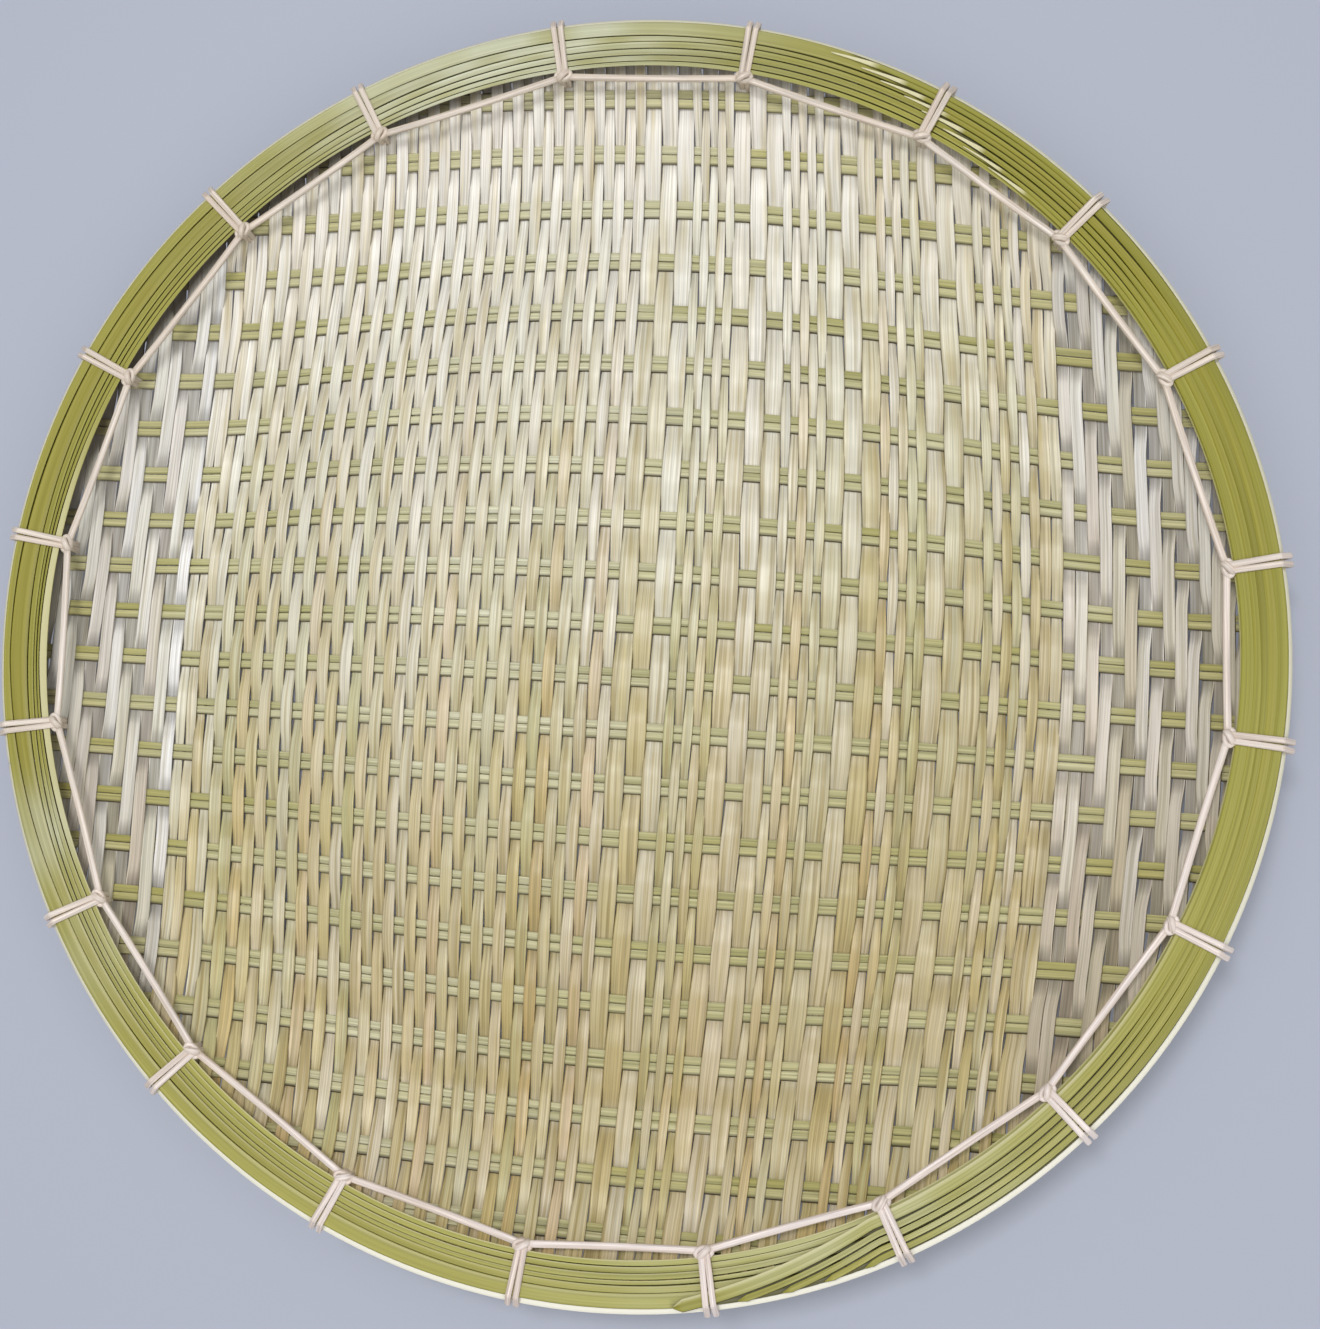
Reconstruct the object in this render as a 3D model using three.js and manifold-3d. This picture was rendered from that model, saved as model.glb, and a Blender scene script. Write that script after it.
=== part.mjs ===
// A large round zaru: a flat woven bamboo mat whose edge is turned up and clamped between
// two bamboo hoops, covered by a deck of thin strips and lashed with one rattan strand.
// Millimetres, +Z up, the axis of the basket on Z and its woven floor on Z = 0.
// The ribs run along X and the wefts along Y.
import * as THREE from "three";
import Module from "manifold-3d";
import { mergeVertices } from "three/addons/utils/BufferGeometryUtils.js";

const wasm = await Module();
wasm.setup();

// Driving dimensions of the bowl
const rimRadius = 300; // outermost edge of the outer hoop
const wallCurl = 113; // radius of the arc that turns the floor up into the wall
const rimSlope = THREE.MathUtils.degToRad(50); // slope of the hoops above the floor
const matInsert = 9; // how far the mat's edge reaches up between the hoops

// Driving dimensions of the weave
const ribPitch = 26.6; // along the surface, from rib to rib
const ribWidth = 8.5;
const ribThickness = 1.2;
const ribShift = -1.2; // the ribs' middle, off the axis
const weftThickness = 0.9;
const weftMiddle = -5.1; // where the even wefts end and the mixed ones start
const borderWidth = 5.75;
const pairWidth = 9.6;
const evenWidth = 5.84;
const wideWidth = 9.2;
const narrowWidth = 4.55;
const broadWidth = 10.6;
const weaveClearance = 0.3;
const bandClearance = 0.4;
const slotWidth = 1.2; // of the drain slots, where two wefts of one band part between two ribs
const slotLength = 13;
const slotBandStep = 2; // one band in this many has slots
const slotRowStep = 2; // in one gap between the ribs in this many
const thinnestEnd = 1.5; // a strip's cut end is no narrower than this
const endShare = 0.999; // an end counts as that wide from this share of it
const leastStep = 0.5; // a strip's sections lie no closer together than this
const floorStep = 4; // on the flat floor a rib has a section at one band edge in this many
const ribBowShare = 0.178; // how far the ribs bow out at the middle
const ribSagShare = 0.034; // how far both ends of every rib hang the same way
const weftBowShare = 0.158;

// The wefts from left to right: in how many bands, of how many wefts side by side, of which width
const leftBands = [
  { bands: 3, wefts: 4, width: borderWidth },
  { bands: 1, wefts: 2, width: pairWidth },
  { bands: 5, wefts: 7, width: evenWidth },
];
const rightBands = [
  { bands: 1, wefts: 3, width: wideWidth },
  { bands: 1, wefts: 5, width: narrowWidth },
  { bands: 1, wefts: 3, width: wideWidth },
  { bands: 1, wefts: 5, width: narrowWidth },
  { bands: 1, wefts: 3, width: wideWidth },
  { bands: 1, wefts: 5, width: narrowWidth },
  { bands: 1, wefts: 3, width: wideWidth },
  { bands: 1, wefts: 6, width: narrowWidth, last: broadWidth },
  { bands: 3, wefts: 4, width: borderWidth },
  { bands: 1, wefts: 3, width: borderWidth },
];

// Driving dimensions of the rim
const outerHoopWidth = 22;
const outerHoopThickness = 3.5;
const outerHoopDrop = 2; // its lower edge lies this far below the start of the straight wall
const outerHoopSplice = 34; // where its ends meet, in facets clockwise from +Y
const innerHoopWidth = 4;
const innerHoopThickness = 2;
const innerHoopRise = 2; // its lower edge lies this far above the start of the straight wall
const innerHoopSplice = 12;
const channelClearance = 0.7; // from the mat to each hoop
const stripThickness = 1.5;
const stripClearance = 0.3;
const rimFacets = 48;

// The deck's strips from the outer edge inwards, and where each one's ends meet, in facets
const deckStrips = [
  { width: 6.4, splice: 35 },
  { width: 2.1, splice: 9 },
  { width: 2.3, splice: 21 },
  { width: 2.1, splice: 30 },
  { width: 1.9, splice: 3 },
  { width: 2, splice: 40 },
];
// The cover strips above the deck from the outer edge inwards: the angle where each starts,
// its width there, and its width where they all begin to run outwards
const coverStrips = [
  { start: 17.5, width: 4.6, endWidth: 2.6 },
  { start: 22.5, width: 4.2, endWidth: 2.7 },
  { start: 26.7, width: 2.3, endWidth: 2.8 },
  { start: 29.3, width: 2.4, endWidth: 3 },
  { start: 32.5, width: 3.2, endWidth: 5.6 },
];
const coverInset = 0.2; // the outermost cover strip lies this far in from the deck's edge
const coverDriftStart = 152.4; // clockwise from +Y, where the cover strips begin to run outwards
const coverDriftEnd = 170.8; // where the innermost one ends, over the deck's outer edge
const coverTipWidth = 0.9;

// Driving dimensions of the lashing
const strandDiameter = 3.6;
const strandSides = 4;
const strandClearance = 0.3;
const strandSpread = 8; // where the strand leaves a tie, beside its middle
const strandLift = 3; // how far below the deck's inner edge the strand leaves a tie
const holeOverrun = 9; // holes and slots are cut from this far above the mat to as far below it
const tieAngles = [
  9.2, 27.9, 44.7, 61.4, 80.2, 95.8, 113.7, 132.6, 150.8, 167.7,
  184.7, 203, 222.2, 240, 258.3, 276.6, 294.9, 314.1, 331.3, 351,
]; // clockwise from +Y

// The floor, the arc and the straight wall
const layerOffset = (ribThickness + weftThickness) / 2 + weaveClearance;
const matHalf = layerOffset + weftThickness / 2;
const channel = matHalf + channelClearance;
const wallStart =
  rimRadius -
  (outerHoopWidth - outerHoopDrop) * Math.cos(rimSlope) -
  (channel + outerHoopThickness) * Math.sin(rimSlope);
const floorRadius = wallStart - wallCurl * Math.sin(rimSlope);
const wallHeight = matHalf + wallCurl * (1 - Math.cos(rimSlope));
const matRadius = wallStart + matInsert * Math.cos(rimSlope);

// Slope of the mat at a distance from the axis
function slopeAt(radius) {
  const across = (radius - floorRadius) / wallCurl;
  return Math.asin(Math.min(Math.max(across, 0), Math.sin(rimSlope)));
}

// Height of the mat's middle surface at a distance from the axis
function heightAt(radius) {
  const turned = matHalf + wallCurl * (1 - Math.cos(slopeAt(radius)));
  return turned + Math.max(radius - wallStart, 0) * Math.tan(rimSlope);
}

// Horizontal distance from the axis of a point that lies so far along the surface
function flatten(along) {
  const past = Math.max(Math.abs(along) - floorRadius, 0);
  const turn = Math.min(past / wallCurl, rimSlope);
  const straight = Math.max(past - wallCurl * rimSlope, 0);
  const reach = Math.min(Math.abs(along), floorRadius) + wallCurl * Math.sin(turn);
  return Math.sign(along) * (reach + straight * Math.cos(rimSlope));
}

// Where a weft line and a rib line cross, both bowed outwards
function crossing(weftAlong, ribAlong) {
  const u = flatten(weftAlong);
  const v = flatten(ribAlong);
  const weftShare = u / rimRadius;
  const ribShare = v / rimRadius;
  return {
    x: u * (1 - weftBowShare * ribShare * ribShare),
    y: v * (1 - ribBowShare * weftShare * weftShare) - ribSagShare * rimRadius * weftShare * weftShare,
  };
}

// How far a line runs, to one side, before it meets the mat's round edge
const halvings = 40;
function reachOf(place, side) {
  let inside = 0;
  let outside = rimRadius + wallCurl;
  for (let i = 0; i < halvings; i += 1) {
    const middle = (inside + outside) / 2;
    const point = place(side * middle);
    if (Math.hypot(point.x, point.y) < matRadius) inside = middle;
    else outside = middle;
  }
  return side * inside;
}
const weftReach = (weftAlong, side) => reachOf((ribAlong) => crossing(weftAlong, ribAlong), side);
const ribReach = (ribAlong, side) => reachOf((weftAlong) => crossing(weftAlong, ribAlong), side);

// A closed solid through sections that each list the same number of corners
function loft(sections) {
  const sides = sections[0].length;
  const position = sections.flat().flatMap((point) => [point.x, point.y, point.z]);
  let index = [];
  for (let i = 0; i + 1 < sections.length; i += 1) {
    for (let k = 0; k < sides; k += 1) {
      const a = i * sides + k;
      const b = i * sides + ((k + 1) % sides);
      // A flat strip's upper side is split along the same diagonal as its lower side
      const upper = sides === 4 && k === 2;
      if (upper) index.push(a, b, a + sides, b, b + sides, a + sides);
      else index.push(a, b, b + sides, a, b + sides, a + sides);
    }
  }
  const last = (sections.length - 1) * sides;
  for (let k = 1; k + 1 < sides; k += 1) {
    index.push(0, k + 1, k, last, last + k, last + k + 1);
  }
  if (volumeOf(position, index) < 0) index = index.reverse();
  const geometry = new THREE.BufferGeometry();
  geometry.setAttribute("position", new THREE.Float32BufferAttribute(position, 3));
  geometry.setIndex(index);
  return geometry;
}

function volumeOf(position, index) {
  let sum = 0;
  for (let i = 0; i < index.length; i += 3) {
    const [a, b, c] = [0, 1, 2].map((k) => new THREE.Vector3().fromArray(position, 3 * index[i + k]));
    sum += a.dot(b.cross(c));
  }
  return sum / 6;
}

function toSolid(geometry) {
  const triVerts = Uint32Array.from(geometry.index.array);
  const vertProperties = Float32Array.from(geometry.attributes.position.array);
  return new wasm.Manifold(new wasm.Mesh({ numProp: 3, vertProperties, triVerts }));
}

// Cuts a piece with closed tools, and keeps its largest body
function cut(geometry, tools) {
  geometry.computeBoundingBox();
  const near = tools.filter((tool) => tool.box.intersectsBox(geometry.boundingBox));
  if (near.length === 0) return geometry;
  let solid = toSolid(geometry);
  for (const tool of near) solid = solid.subtract(tool.solid);
  const bodies = solid.decompose().sort((a, b) => b.volume() - a.volume());
  const { vertProperties, triVerts } = bodies[0].getMesh();
  const result = new THREE.BufferGeometry();
  result.setAttribute("position", new THREE.BufferAttribute(vertProperties, 3));
  result.setIndex(new THREE.BufferAttribute(triVerts, 1));
  return result;
}

// The rim's cross-section: so far up the wall, and so far in from the mat's middle surface
function onWall(up, inward) {
  return {
    r: wallStart + up * Math.cos(rimSlope) - inward * Math.sin(rimSlope),
    z: wallHeight + up * Math.sin(rimSlope) + inward * Math.cos(rimSlope),
  };
}

const outerHoopTop = outerHoopWidth - outerHoopDrop;
const innerHoopTop = innerHoopRise + innerHoopWidth;
const innerHoopFace = channel + innerHoopThickness;
const deckOuter = onWall(outerHoopTop, -channel);
const deckRest = onWall(innerHoopTop, innerHoopFace);
const deckSlope = Math.atan2(deckOuter.z - deckRest.z, deckOuter.r - deckRest.r);
const deckWidth = deckStrips.reduce((sum, strip) => sum + strip.width + stripClearance, 0) - stripClearance;

// The deck's cross-section: so far in from the outer hoop's edge, and so far above it
function onDeck(inward, above) {
  return {
    r: deckOuter.r - inward * Math.cos(deckSlope) - above * Math.sin(deckSlope),
    z: deckOuter.z - inward * Math.sin(deckSlope) + above * Math.cos(deckSlope),
  };
}

// Turns a place of the cross-section to an angle clockwise from +Y, on the rim's flat facets
const facet = (2 * Math.PI) / rimFacets;
function onRim(place, angle) {
  const within = angle - facet * (Math.floor(angle / facet) + 1 / 2);
  const r = (place.r * Math.cos(facet / 2)) / Math.cos(within);
  return new THREE.Vector3(r * Math.sin(angle), r * Math.cos(angle), place.z);
}

// Angles from one end of a bent strip to the other, with a section at each facet's edge
function stationsBetween(start, end) {
  const stations = [start];
  for (let k = Math.floor(start / facet) + 1; k * facet < end - facet / rimFacets; k += 1) {
    if (k * facet > start + facet / rimFacets) stations.push(k * facet);
  }
  return [...stations, end];
}

// A strip bent into a full ring, its two ends meeting at a splice
function ring(corners, splice) {
  const start = splice * facet + stripClearance / rimRadius;
  const end = (splice + rimFacets) * facet - stripClearance / rimRadius;
  return loft(stationsBetween(start, end).map((angle) => corners.map((corner) => onRim(corner, angle))));
}

const colours = {
  rib: new THREE.Color(0.53, 0.55, 0.24),
  weft: new THREE.Color(0.72, 0.66, 0.42),
  hoop: new THREE.Color(0.66, 0.62, 0.38),
  strip: new THREE.Color(0.42, 0.44, 0.13),
  rattan: new THREE.Color(0.77, 0.62, 0.5),
};
const basket = new THREE.Group();

function add(name, geometry, colour, roughness) {
  const material = new THREE.MeshStandardMaterial({ color: colour, roughness, metalness: 0 });
  const mesh = new THREE.Mesh(geometry, material);
  mesh.name = name;
  basket.add(mesh);
}

// The hoops that clamp the mat
function addHoops() {
  const outer = [
    onWall(-outerHoopDrop, -channel),
    onWall(outerHoopTop, -channel),
    onWall(outerHoopTop, -channel - outerHoopThickness),
    onWall(-outerHoopDrop, -channel - outerHoopThickness),
  ];
  const inner = [
    onWall(innerHoopRise, channel),
    onWall(innerHoopRise, innerHoopFace),
    onWall(innerHoopTop, innerHoopFace),
    onWall(innerHoopTop, channel),
  ];
  add("outer_hoop", ring(outer, outerHoopSplice), colours.hoop, 0.5);
  add("inner_hoop", ring(inner, innerHoopSplice), colours.strip, 0.5);
}

// The deck: strips side by side all the way round, from the outer hoop inwards
function addDeck() {
  let inward = 0;
  deckStrips.forEach((strip, i) => {
    const low = stripClearance;
    const high = stripClearance + stripThickness;
    const corners = [
      onDeck(inward, low),
      onDeck(inward, high),
      onDeck(inward + strip.width, high),
      onDeck(inward + strip.width, low),
    ];
    add(`deck_strip_${i + 1}`, ring(corners, strip.splice), colours.strip, 0.45);
    inward += strip.width + stripClearance;
  });
}

// The cover strips lie on the deck along one side and run out over its edge one by one
const coverLow = stripThickness + 2 * stripClearance;
const coverHigh = coverLow + stripThickness;
const coverStart = THREE.MathUtils.degToRad(coverStrips[0].start);
const driftStart = THREE.MathUtils.degToRad(coverDriftStart);
const driftEnd = THREE.MathUtils.degToRad(coverDriftEnd);

// How far in a cover strip's middle lies before the drift, and its width, at an angle
function coverAt(index, angle) {
  const share = THREE.MathUtils.clamp(THREE.MathUtils.inverseLerp(coverStart, driftStart, angle), 0, 1);
  const widths = coverStrips.map((strip) => THREE.MathUtils.lerp(strip.width, strip.endWidth, share));
  const outer = widths.slice(0, index).reduce((sum, width) => sum + width + stripClearance, coverInset);
  return { middle: outer + widths[index] / 2, width: widths[index] };
}
const driftRate = coverAt(coverStrips.length - 1, driftStart).middle / (driftEnd - driftStart);

function addCover() {
  coverStrips.forEach((strip, i) => {
    const start = THREE.MathUtils.degToRad(strip.start);
    const end = driftStart + coverAt(i, driftStart).middle / driftRate;
    const stations = stationsBetween(start, end);
    const sections = stations.map((angle, k) => {
      const { middle, width } = coverAt(i, angle);
      const shifted = middle - Math.max(angle - driftStart, 0) * driftRate;
      const half = (k === 0 || k === stations.length - 1 ? coverTipWidth : width) / 2;
      return [
        onRim(onDeck(shifted - half, coverLow), angle),
        onRim(onDeck(shifted - half, coverHigh), angle),
        onRim(onDeck(shifted + half, coverHigh), angle),
        onRim(onDeck(shifted + half, coverLow), angle),
      ];
    });
    add(`cover_strip_${i + 1}`, loft(sections), colours.strip, 0.45);
  });
}

// The lashing: one strand, twice round the rim at each tie and straight on to the next
const strandRadius = strandDiameter / 2;
const strandOff = strandRadius + strandClearance;
const halfPair = strandRadius + strandClearance;
const deckInner = onDeck(deckWidth, stripClearance);
const innerHoopFoot = onWall(innerHoopRise, innerHoopFace);
const strandInner = (Math.min(deckInner.r, innerHoopFoot.r) - strandOff) * Math.cos(facet / 2);
const holeReach = strandOff + strandClearance;

// Height of the mat's upper or lower side, beside the tie's hole
const matSide = (radius, side) => heightAt(radius) + (side * matHalf) / Math.cos(slopeAt(radius));

function wrapPlaces(top) {
  const above = top + strandOff;
  const edge = outerHoopTop + top * Math.sin(rimSlope - deckSlope) + strandOff;
  const outside = -channel - outerHoopThickness - strandOff;
  // The strand turns from the deck to the outer hoop's edge where their offset lines cross
  const onEdge = onWall(edge, 0);
  const away = onDeck(0, above);
  const bend = Math.cos(rimSlope - deckSlope);
  const out =
    ((away.r - onEdge.r) * Math.cos(rimSlope) + (away.z - onEdge.z) * Math.sin(rimSlope)) / bend;
  const underside = matSide(strandInner - holeReach, -1) - strandOff;
  const upper = matSide(strandInner + holeReach, 1) + strandClearance;
  return [
    onDeck(deckWidth + strandOff, above),
    onDeck(out, above),
    onWall(edge, outside),
    onWall(-outerHoopDrop - strandOff, outside),
    { r: strandInner, z: underside },
    { r: strandInner, z: upper },
  ];
}

function strandPath() {
  const path = [];
  const leave = { r: strandInner, z: deckInner.z - strandLift + strandOff };
  for (const degrees of tieAngles) {
    const angle = THREE.MathUtils.degToRad(degrees);
    const covered = angle > coverStart && angle < driftEnd;
    const wrap = wrapPlaces(covered ? coverHigh : stripClearance + stripThickness);
    const aside = halfPair / strandInner;
    path.push(onRim(leave, angle - strandSpread / strandInner));
    for (const place of wrap) path.push(onRim(place, angle - aside));
    for (const place of wrap) path.push(onRim(place, angle + aside));
    path.push(onRim(leave, angle + strandSpread / strandInner));
  }
  return path;
}

// A tube of constant section along straight runs, mitred where they meet
function strand(path, radius, sides) {
  const headings = path.slice(1).map((point, i) => point.clone().sub(path[i]).normalize());
  const beside = new THREE.Vector3(0, 0, 1).cross(headings[0]).normalize();
  const upward = headings[0].clone().cross(beside);
  let corners = Array.from({ length: sides }, (_, k) => {
    const turn = (2 * Math.PI * k) / sides;
    const point = path[0].clone().addScaledVector(beside, radius * Math.cos(turn));
    return point.addScaledVector(upward, radius * Math.sin(turn));
  });
  const sections = [corners];
  for (let i = 1; i < path.length; i += 1) {
    const before = headings[i - 1];
    const normal = i < headings.length ? before.clone().add(headings[i]).normalize() : before;
    corners = corners.map((corner) => {
      const run = path[i].clone().sub(corner).dot(normal) / before.dot(normal);
      return corner.clone().addScaledVector(before, run);
    });
    sections.push(corners);
  }
  return loft(sections);
}

// A box that cuts through the mat
const holeHeight = 2 * (matHalf + holeOverrun);
function cutter(width, length, place) {
  const box = new THREE.BoxGeometry(width, length, holeHeight).applyMatrix4(place);
  box.deleteAttribute("normal");
  box.deleteAttribute("uv");
  const merged = mergeVertices(box);
  merged.computeBoundingBox();
  return { solid: toSolid(merged), box: merged.boundingBox };
}

// The holes that the ties pass through, between the strips of the mat
function tieHoles() {
  return tieAngles.map((degrees) => {
    const angle = THREE.MathUtils.degToRad(degrees);
    const middle = onRim({ r: strandInner, z: heightAt(strandInner) }, angle);
    const place = new THREE.Matrix4().makeRotationZ(-angle).setPosition(middle);
    return cutter(2 * (halfPair + strandOff), 2 * holeReach, place);
  });
}

// The single bands, their widths and their edges
const bandsOf = (groups) => groups.flatMap((group) => Array(group.bands).fill(group));
const widthOf = ({ wefts, width, last = 0 }) => wefts * width + last;
const bands = [...bandsOf(leftBands), ...bandsOf(rightBands)];
const widths = bands.map(widthOf);
const leftOfMiddle = bandsOf(leftBands).reduce((sum, band) => sum + widthOf(band), 0);
const bandEdges = [weftMiddle - leftOfMiddle];
for (const width of widths) bandEdges.push(bandEdges[bandEdges.length - 1] + width);

const topReach = weftReach(0, 1);
const ribHalf = ribWidth / 2;
const ribsEachWay = Math.floor((topReach - ribHalf) / ribPitch + 1 / 2);
const ribMiddles = [];
for (let k = 0; k < 2 * ribsEachWay; k += 1) {
  ribMiddles.push((ribsEachWay - 1 / 2 - k) * ribPitch + ribShift);
}

// The mat's middle surface is drawn through the crossings of the bands' and the ribs' edges
const matAlong = floorRadius + wallCurl * rimSlope + matInsert;
const ribEdges = ribMiddles.flatMap((middle) => [middle + ribHalf, middle - ribHalf]);
const matEnds = [-matAlong - bandClearance, matAlong + bandClearance];
const weftLines = [...bandEdges, ...matEnds].sort((a, b) => a - b);
const ribLines = [...ribEdges, ...matEnds].sort((a, b) => a - b);

function cellOf(lines, along) {
  let i = 0;
  while (i + 2 < lines.length && along > lines[i + 1]) i += 1;
  return { i, share: (along - lines[i]) / (lines[i + 1] - lines[i]) };
}

// The crossing of two lines, raised by so much along the surface's normal
function nodeAt(weftAlong, ribAlong, raise) {
  const { x, y } = crossing(weftAlong, ribAlong);
  const radius = Math.hypot(x, y);
  const slope = slopeAt(radius);
  const inward = radius > 0 ? (raise * Math.sin(slope)) / radius : 0;
  return new THREE.Vector3(x - x * inward, y - y * inward, heightAt(radius) + raise * Math.cos(slope));
}

function onMat(weftAlong, ribAlong, raise) {
  const weft = cellOf(weftLines, weftAlong);
  const rib = cellOf(ribLines, ribAlong);
  const [near, far] = [0, 1].map((step) => {
    const line = ribLines[rib.i + step];
    const from = nodeAt(weftLines[weft.i], line, raise);
    return from.lerp(nodeAt(weftLines[weft.i + 1], line, raise), weft.share);
  });
  return near.lerp(far, rib.share);
}

// Drain slots in a plain grid: each lies between two wefts of a band and between two ribs
function drainSlots() {
  const slots = [];
  for (let i = 0; i < bands.length; i += slotBandStep) {
    const line = bandEdges[i] + Math.floor(bands[i].wefts / 2) * bands[i].width;
    for (let k = 1; k < ribMiddles.length; k += slotRowStep) {
      const along = (ribMiddles[k - 1] + ribMiddles[k]) / 2;
      const middle = onMat(line, along, 0);
      if (Math.hypot(middle.x, middle.y) + slotLength > wallStart) continue;
      const ahead = onMat(line, along + slotLength / 2, 0).sub(middle).normalize();
      const upward = onMat(line, along, layerOffset).sub(middle).normalize();
      const beside = ahead.clone().cross(upward).normalize();
      upward.crossVectors(beside, ahead);
      const place = new THREE.Matrix4().makeBasis(beside, ahead, upward).setPosition(middle);
      slots.push(cutter(slotWidth, slotLength, place));
    }
  }
  return slots;
}

// Which side of the ribs a band lies on at a place along it, from -1 below to 1 above
function sideOf(band, ribAlong) {
  const sideAt = (rib) => ((band + rib) % 2 === 0 ? 1 : -1);
  if (ribAlong >= ribMiddles[0] - ribHalf) return sideAt(0);
  for (let k = 1; k < ribMiddles.length; k += 1) {
    const upper = ribMiddles[k - 1] - ribHalf;
    const lower = ribMiddles[k] + ribHalf;
    const crossed = THREE.MathUtils.mapLinear(ribAlong, lower, upper, sideAt(k), sideAt(k - 1));
    if (ribAlong > lower) return crossed;
    if (ribAlong >= lower - ribWidth) return sideAt(k);
  }
  return sideAt(ribMiddles.length - 1);
}

// A flat strip of the mat: its two long edges, cut off where the mat ends
function matStrip(low, high, stations, reachAcross, place, raiseAt, thickness) {
  const kept = [];
  for (const station of stations) {
    const from = Math.max(low, reachAcross(station, -1));
    const to = Math.min(high, reachAcross(station, 1));
    if (to - from >= Math.min(thinnestEnd, high - low) * endShare) kept.push({ station, from, to });
  }
  const sections = kept.map(({ station, from, to }) => {
    const under = raiseAt(station) - thickness / 2;
    const over = raiseAt(station) + thickness / 2;
    const corners = [[from, under], [to, under], [to, over], [from, over]];
    return corners.map(([across, raise]) => place(across, station, raise));
  });
  return sections.length > 1 ? loft(sections) : null;
}

// Places along a strip where its section is drawn: the crossings, and both of its slanted ends
function stationsOf(low, high, crossings, reachAlong) {
  const nearest = low < 0 && high > 0 ? 0 : Math.min(Math.abs(low), Math.abs(high));
  const side = low < 0 ? -1 : 1;
  const ends = [];
  for (const way of [-1, 1]) {
    const edges = [reachAlong(low, way), reachAlong(high, way)];
    const tip = reachAlong(side * (nearest + thinnestEnd), way);
    const span = low < 0 && high > 0 ? reachAlong((side * thinnestEnd) / 2, way) : tip;
    ends.push(...edges.filter((edge) => Math.abs(edge) < Math.abs(span)), span);
  }
  const lowest = Math.min(...ends);
  const highest = Math.max(...ends);
  const inner = crossings.filter((value) => value > lowest + thinnestEnd && value < highest - thinnestEnd);
  const all = [...inner, ...ends].sort((a, b) => a - b);
  return all.filter((value, i) => i === 0 || value - all[i - 1] > leastStep);
}

// Band edges where a rib's section is drawn: all on the wall, only a few on the flat floor
function ribCrossings(middle) {
  const onFloor = bandEdges.map((edge) => {
    const point = crossing(edge, middle);
    return Math.hypot(point.x, point.y) < floorRadius;
  });
  const needed = (i) => i % floorStep === 0 || !(onFloor[i - 1] && onFloor[i] && onFloor[i + 1]);
  return bandEdges.filter((edge, i) => needed(i));
}

function addRibs(holes) {
  ribMiddles.forEach((middle, k) => {
    const low = middle - ribHalf;
    const high = middle + ribHalf;
    const stations = stationsOf(low, high, ribCrossings(middle), ribReach);
    const place = (ribAlong, weftAlong, raise) => onMat(weftAlong, ribAlong, raise);
    const solid = matStrip(low, high, stations, weftReach, place, () => 0, ribThickness);
    if (solid === null) return;
    add(`rib_${String(k + 1).padStart(2, "0")}`, cut(solid, holes), colours.rib, 0.4);
  });
}

function addWefts(openings) {
  const crossings = ribMiddles.flatMap((middle) => [middle - ribHalf, middle + ribHalf]);
  widths.forEach((width, band) => {
    const low = bandEdges[band] + bandClearance / 2;
    const high = bandEdges[band + 1] - bandClearance / 2;
    const stations = stationsOf(low, high, crossings, weftReach);
    const raise = (ribAlong) => layerOffset * sideOf(band, ribAlong);
    const solid = matStrip(low, high, stations, ribReach, onMat, raise, weftThickness);
    if (solid === null) return;
    add(`weft_band_${String(band + 1).padStart(2, "0")}`, cut(solid, openings), colours.weft, 0.45);
  });
}

const holes = tieHoles();
addRibs(holes);
addWefts([...holes, ...drainSlots()]);
addHoops();
addDeck();
addCover();
add("rattan_lashing", strand(strandPath(), strandRadius, strandSides), colours.rattan, 0.5);

export default basket;
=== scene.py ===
import bpy
import math
import numpy as np
from mathutils import Matrix, Vector


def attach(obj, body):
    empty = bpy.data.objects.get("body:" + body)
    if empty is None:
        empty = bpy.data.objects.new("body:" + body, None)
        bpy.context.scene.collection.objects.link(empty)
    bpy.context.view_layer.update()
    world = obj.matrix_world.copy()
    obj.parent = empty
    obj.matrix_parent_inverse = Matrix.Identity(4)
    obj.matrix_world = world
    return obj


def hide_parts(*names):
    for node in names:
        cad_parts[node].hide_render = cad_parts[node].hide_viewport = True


# A large zaru: a split-bamboo mat turned up at its edge, a rim of bent strips, a rattan lashing.
# Metres, +Z up out of the bowl, ribs along X, wefts along Y.
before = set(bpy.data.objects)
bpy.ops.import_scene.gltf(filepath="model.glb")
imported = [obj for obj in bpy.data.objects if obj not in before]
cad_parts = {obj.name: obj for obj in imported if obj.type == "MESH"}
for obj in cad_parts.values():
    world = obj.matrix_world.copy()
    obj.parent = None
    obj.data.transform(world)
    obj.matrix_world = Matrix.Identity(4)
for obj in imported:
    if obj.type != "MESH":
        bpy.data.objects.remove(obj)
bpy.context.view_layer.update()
chance = np.random.default_rng(2024)
print("frame loaded:", len(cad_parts), "nodes")


def srgb(red, green, blue):
    # linear = ((c + 0.055) / 1.055) ^ 2.4 for each channel, c being the channel out of 255
    return tuple(((c / 255 + 0.055) / 1.055) ** 2.4 for c in (red, green, blue)) + (1.0,)


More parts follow.
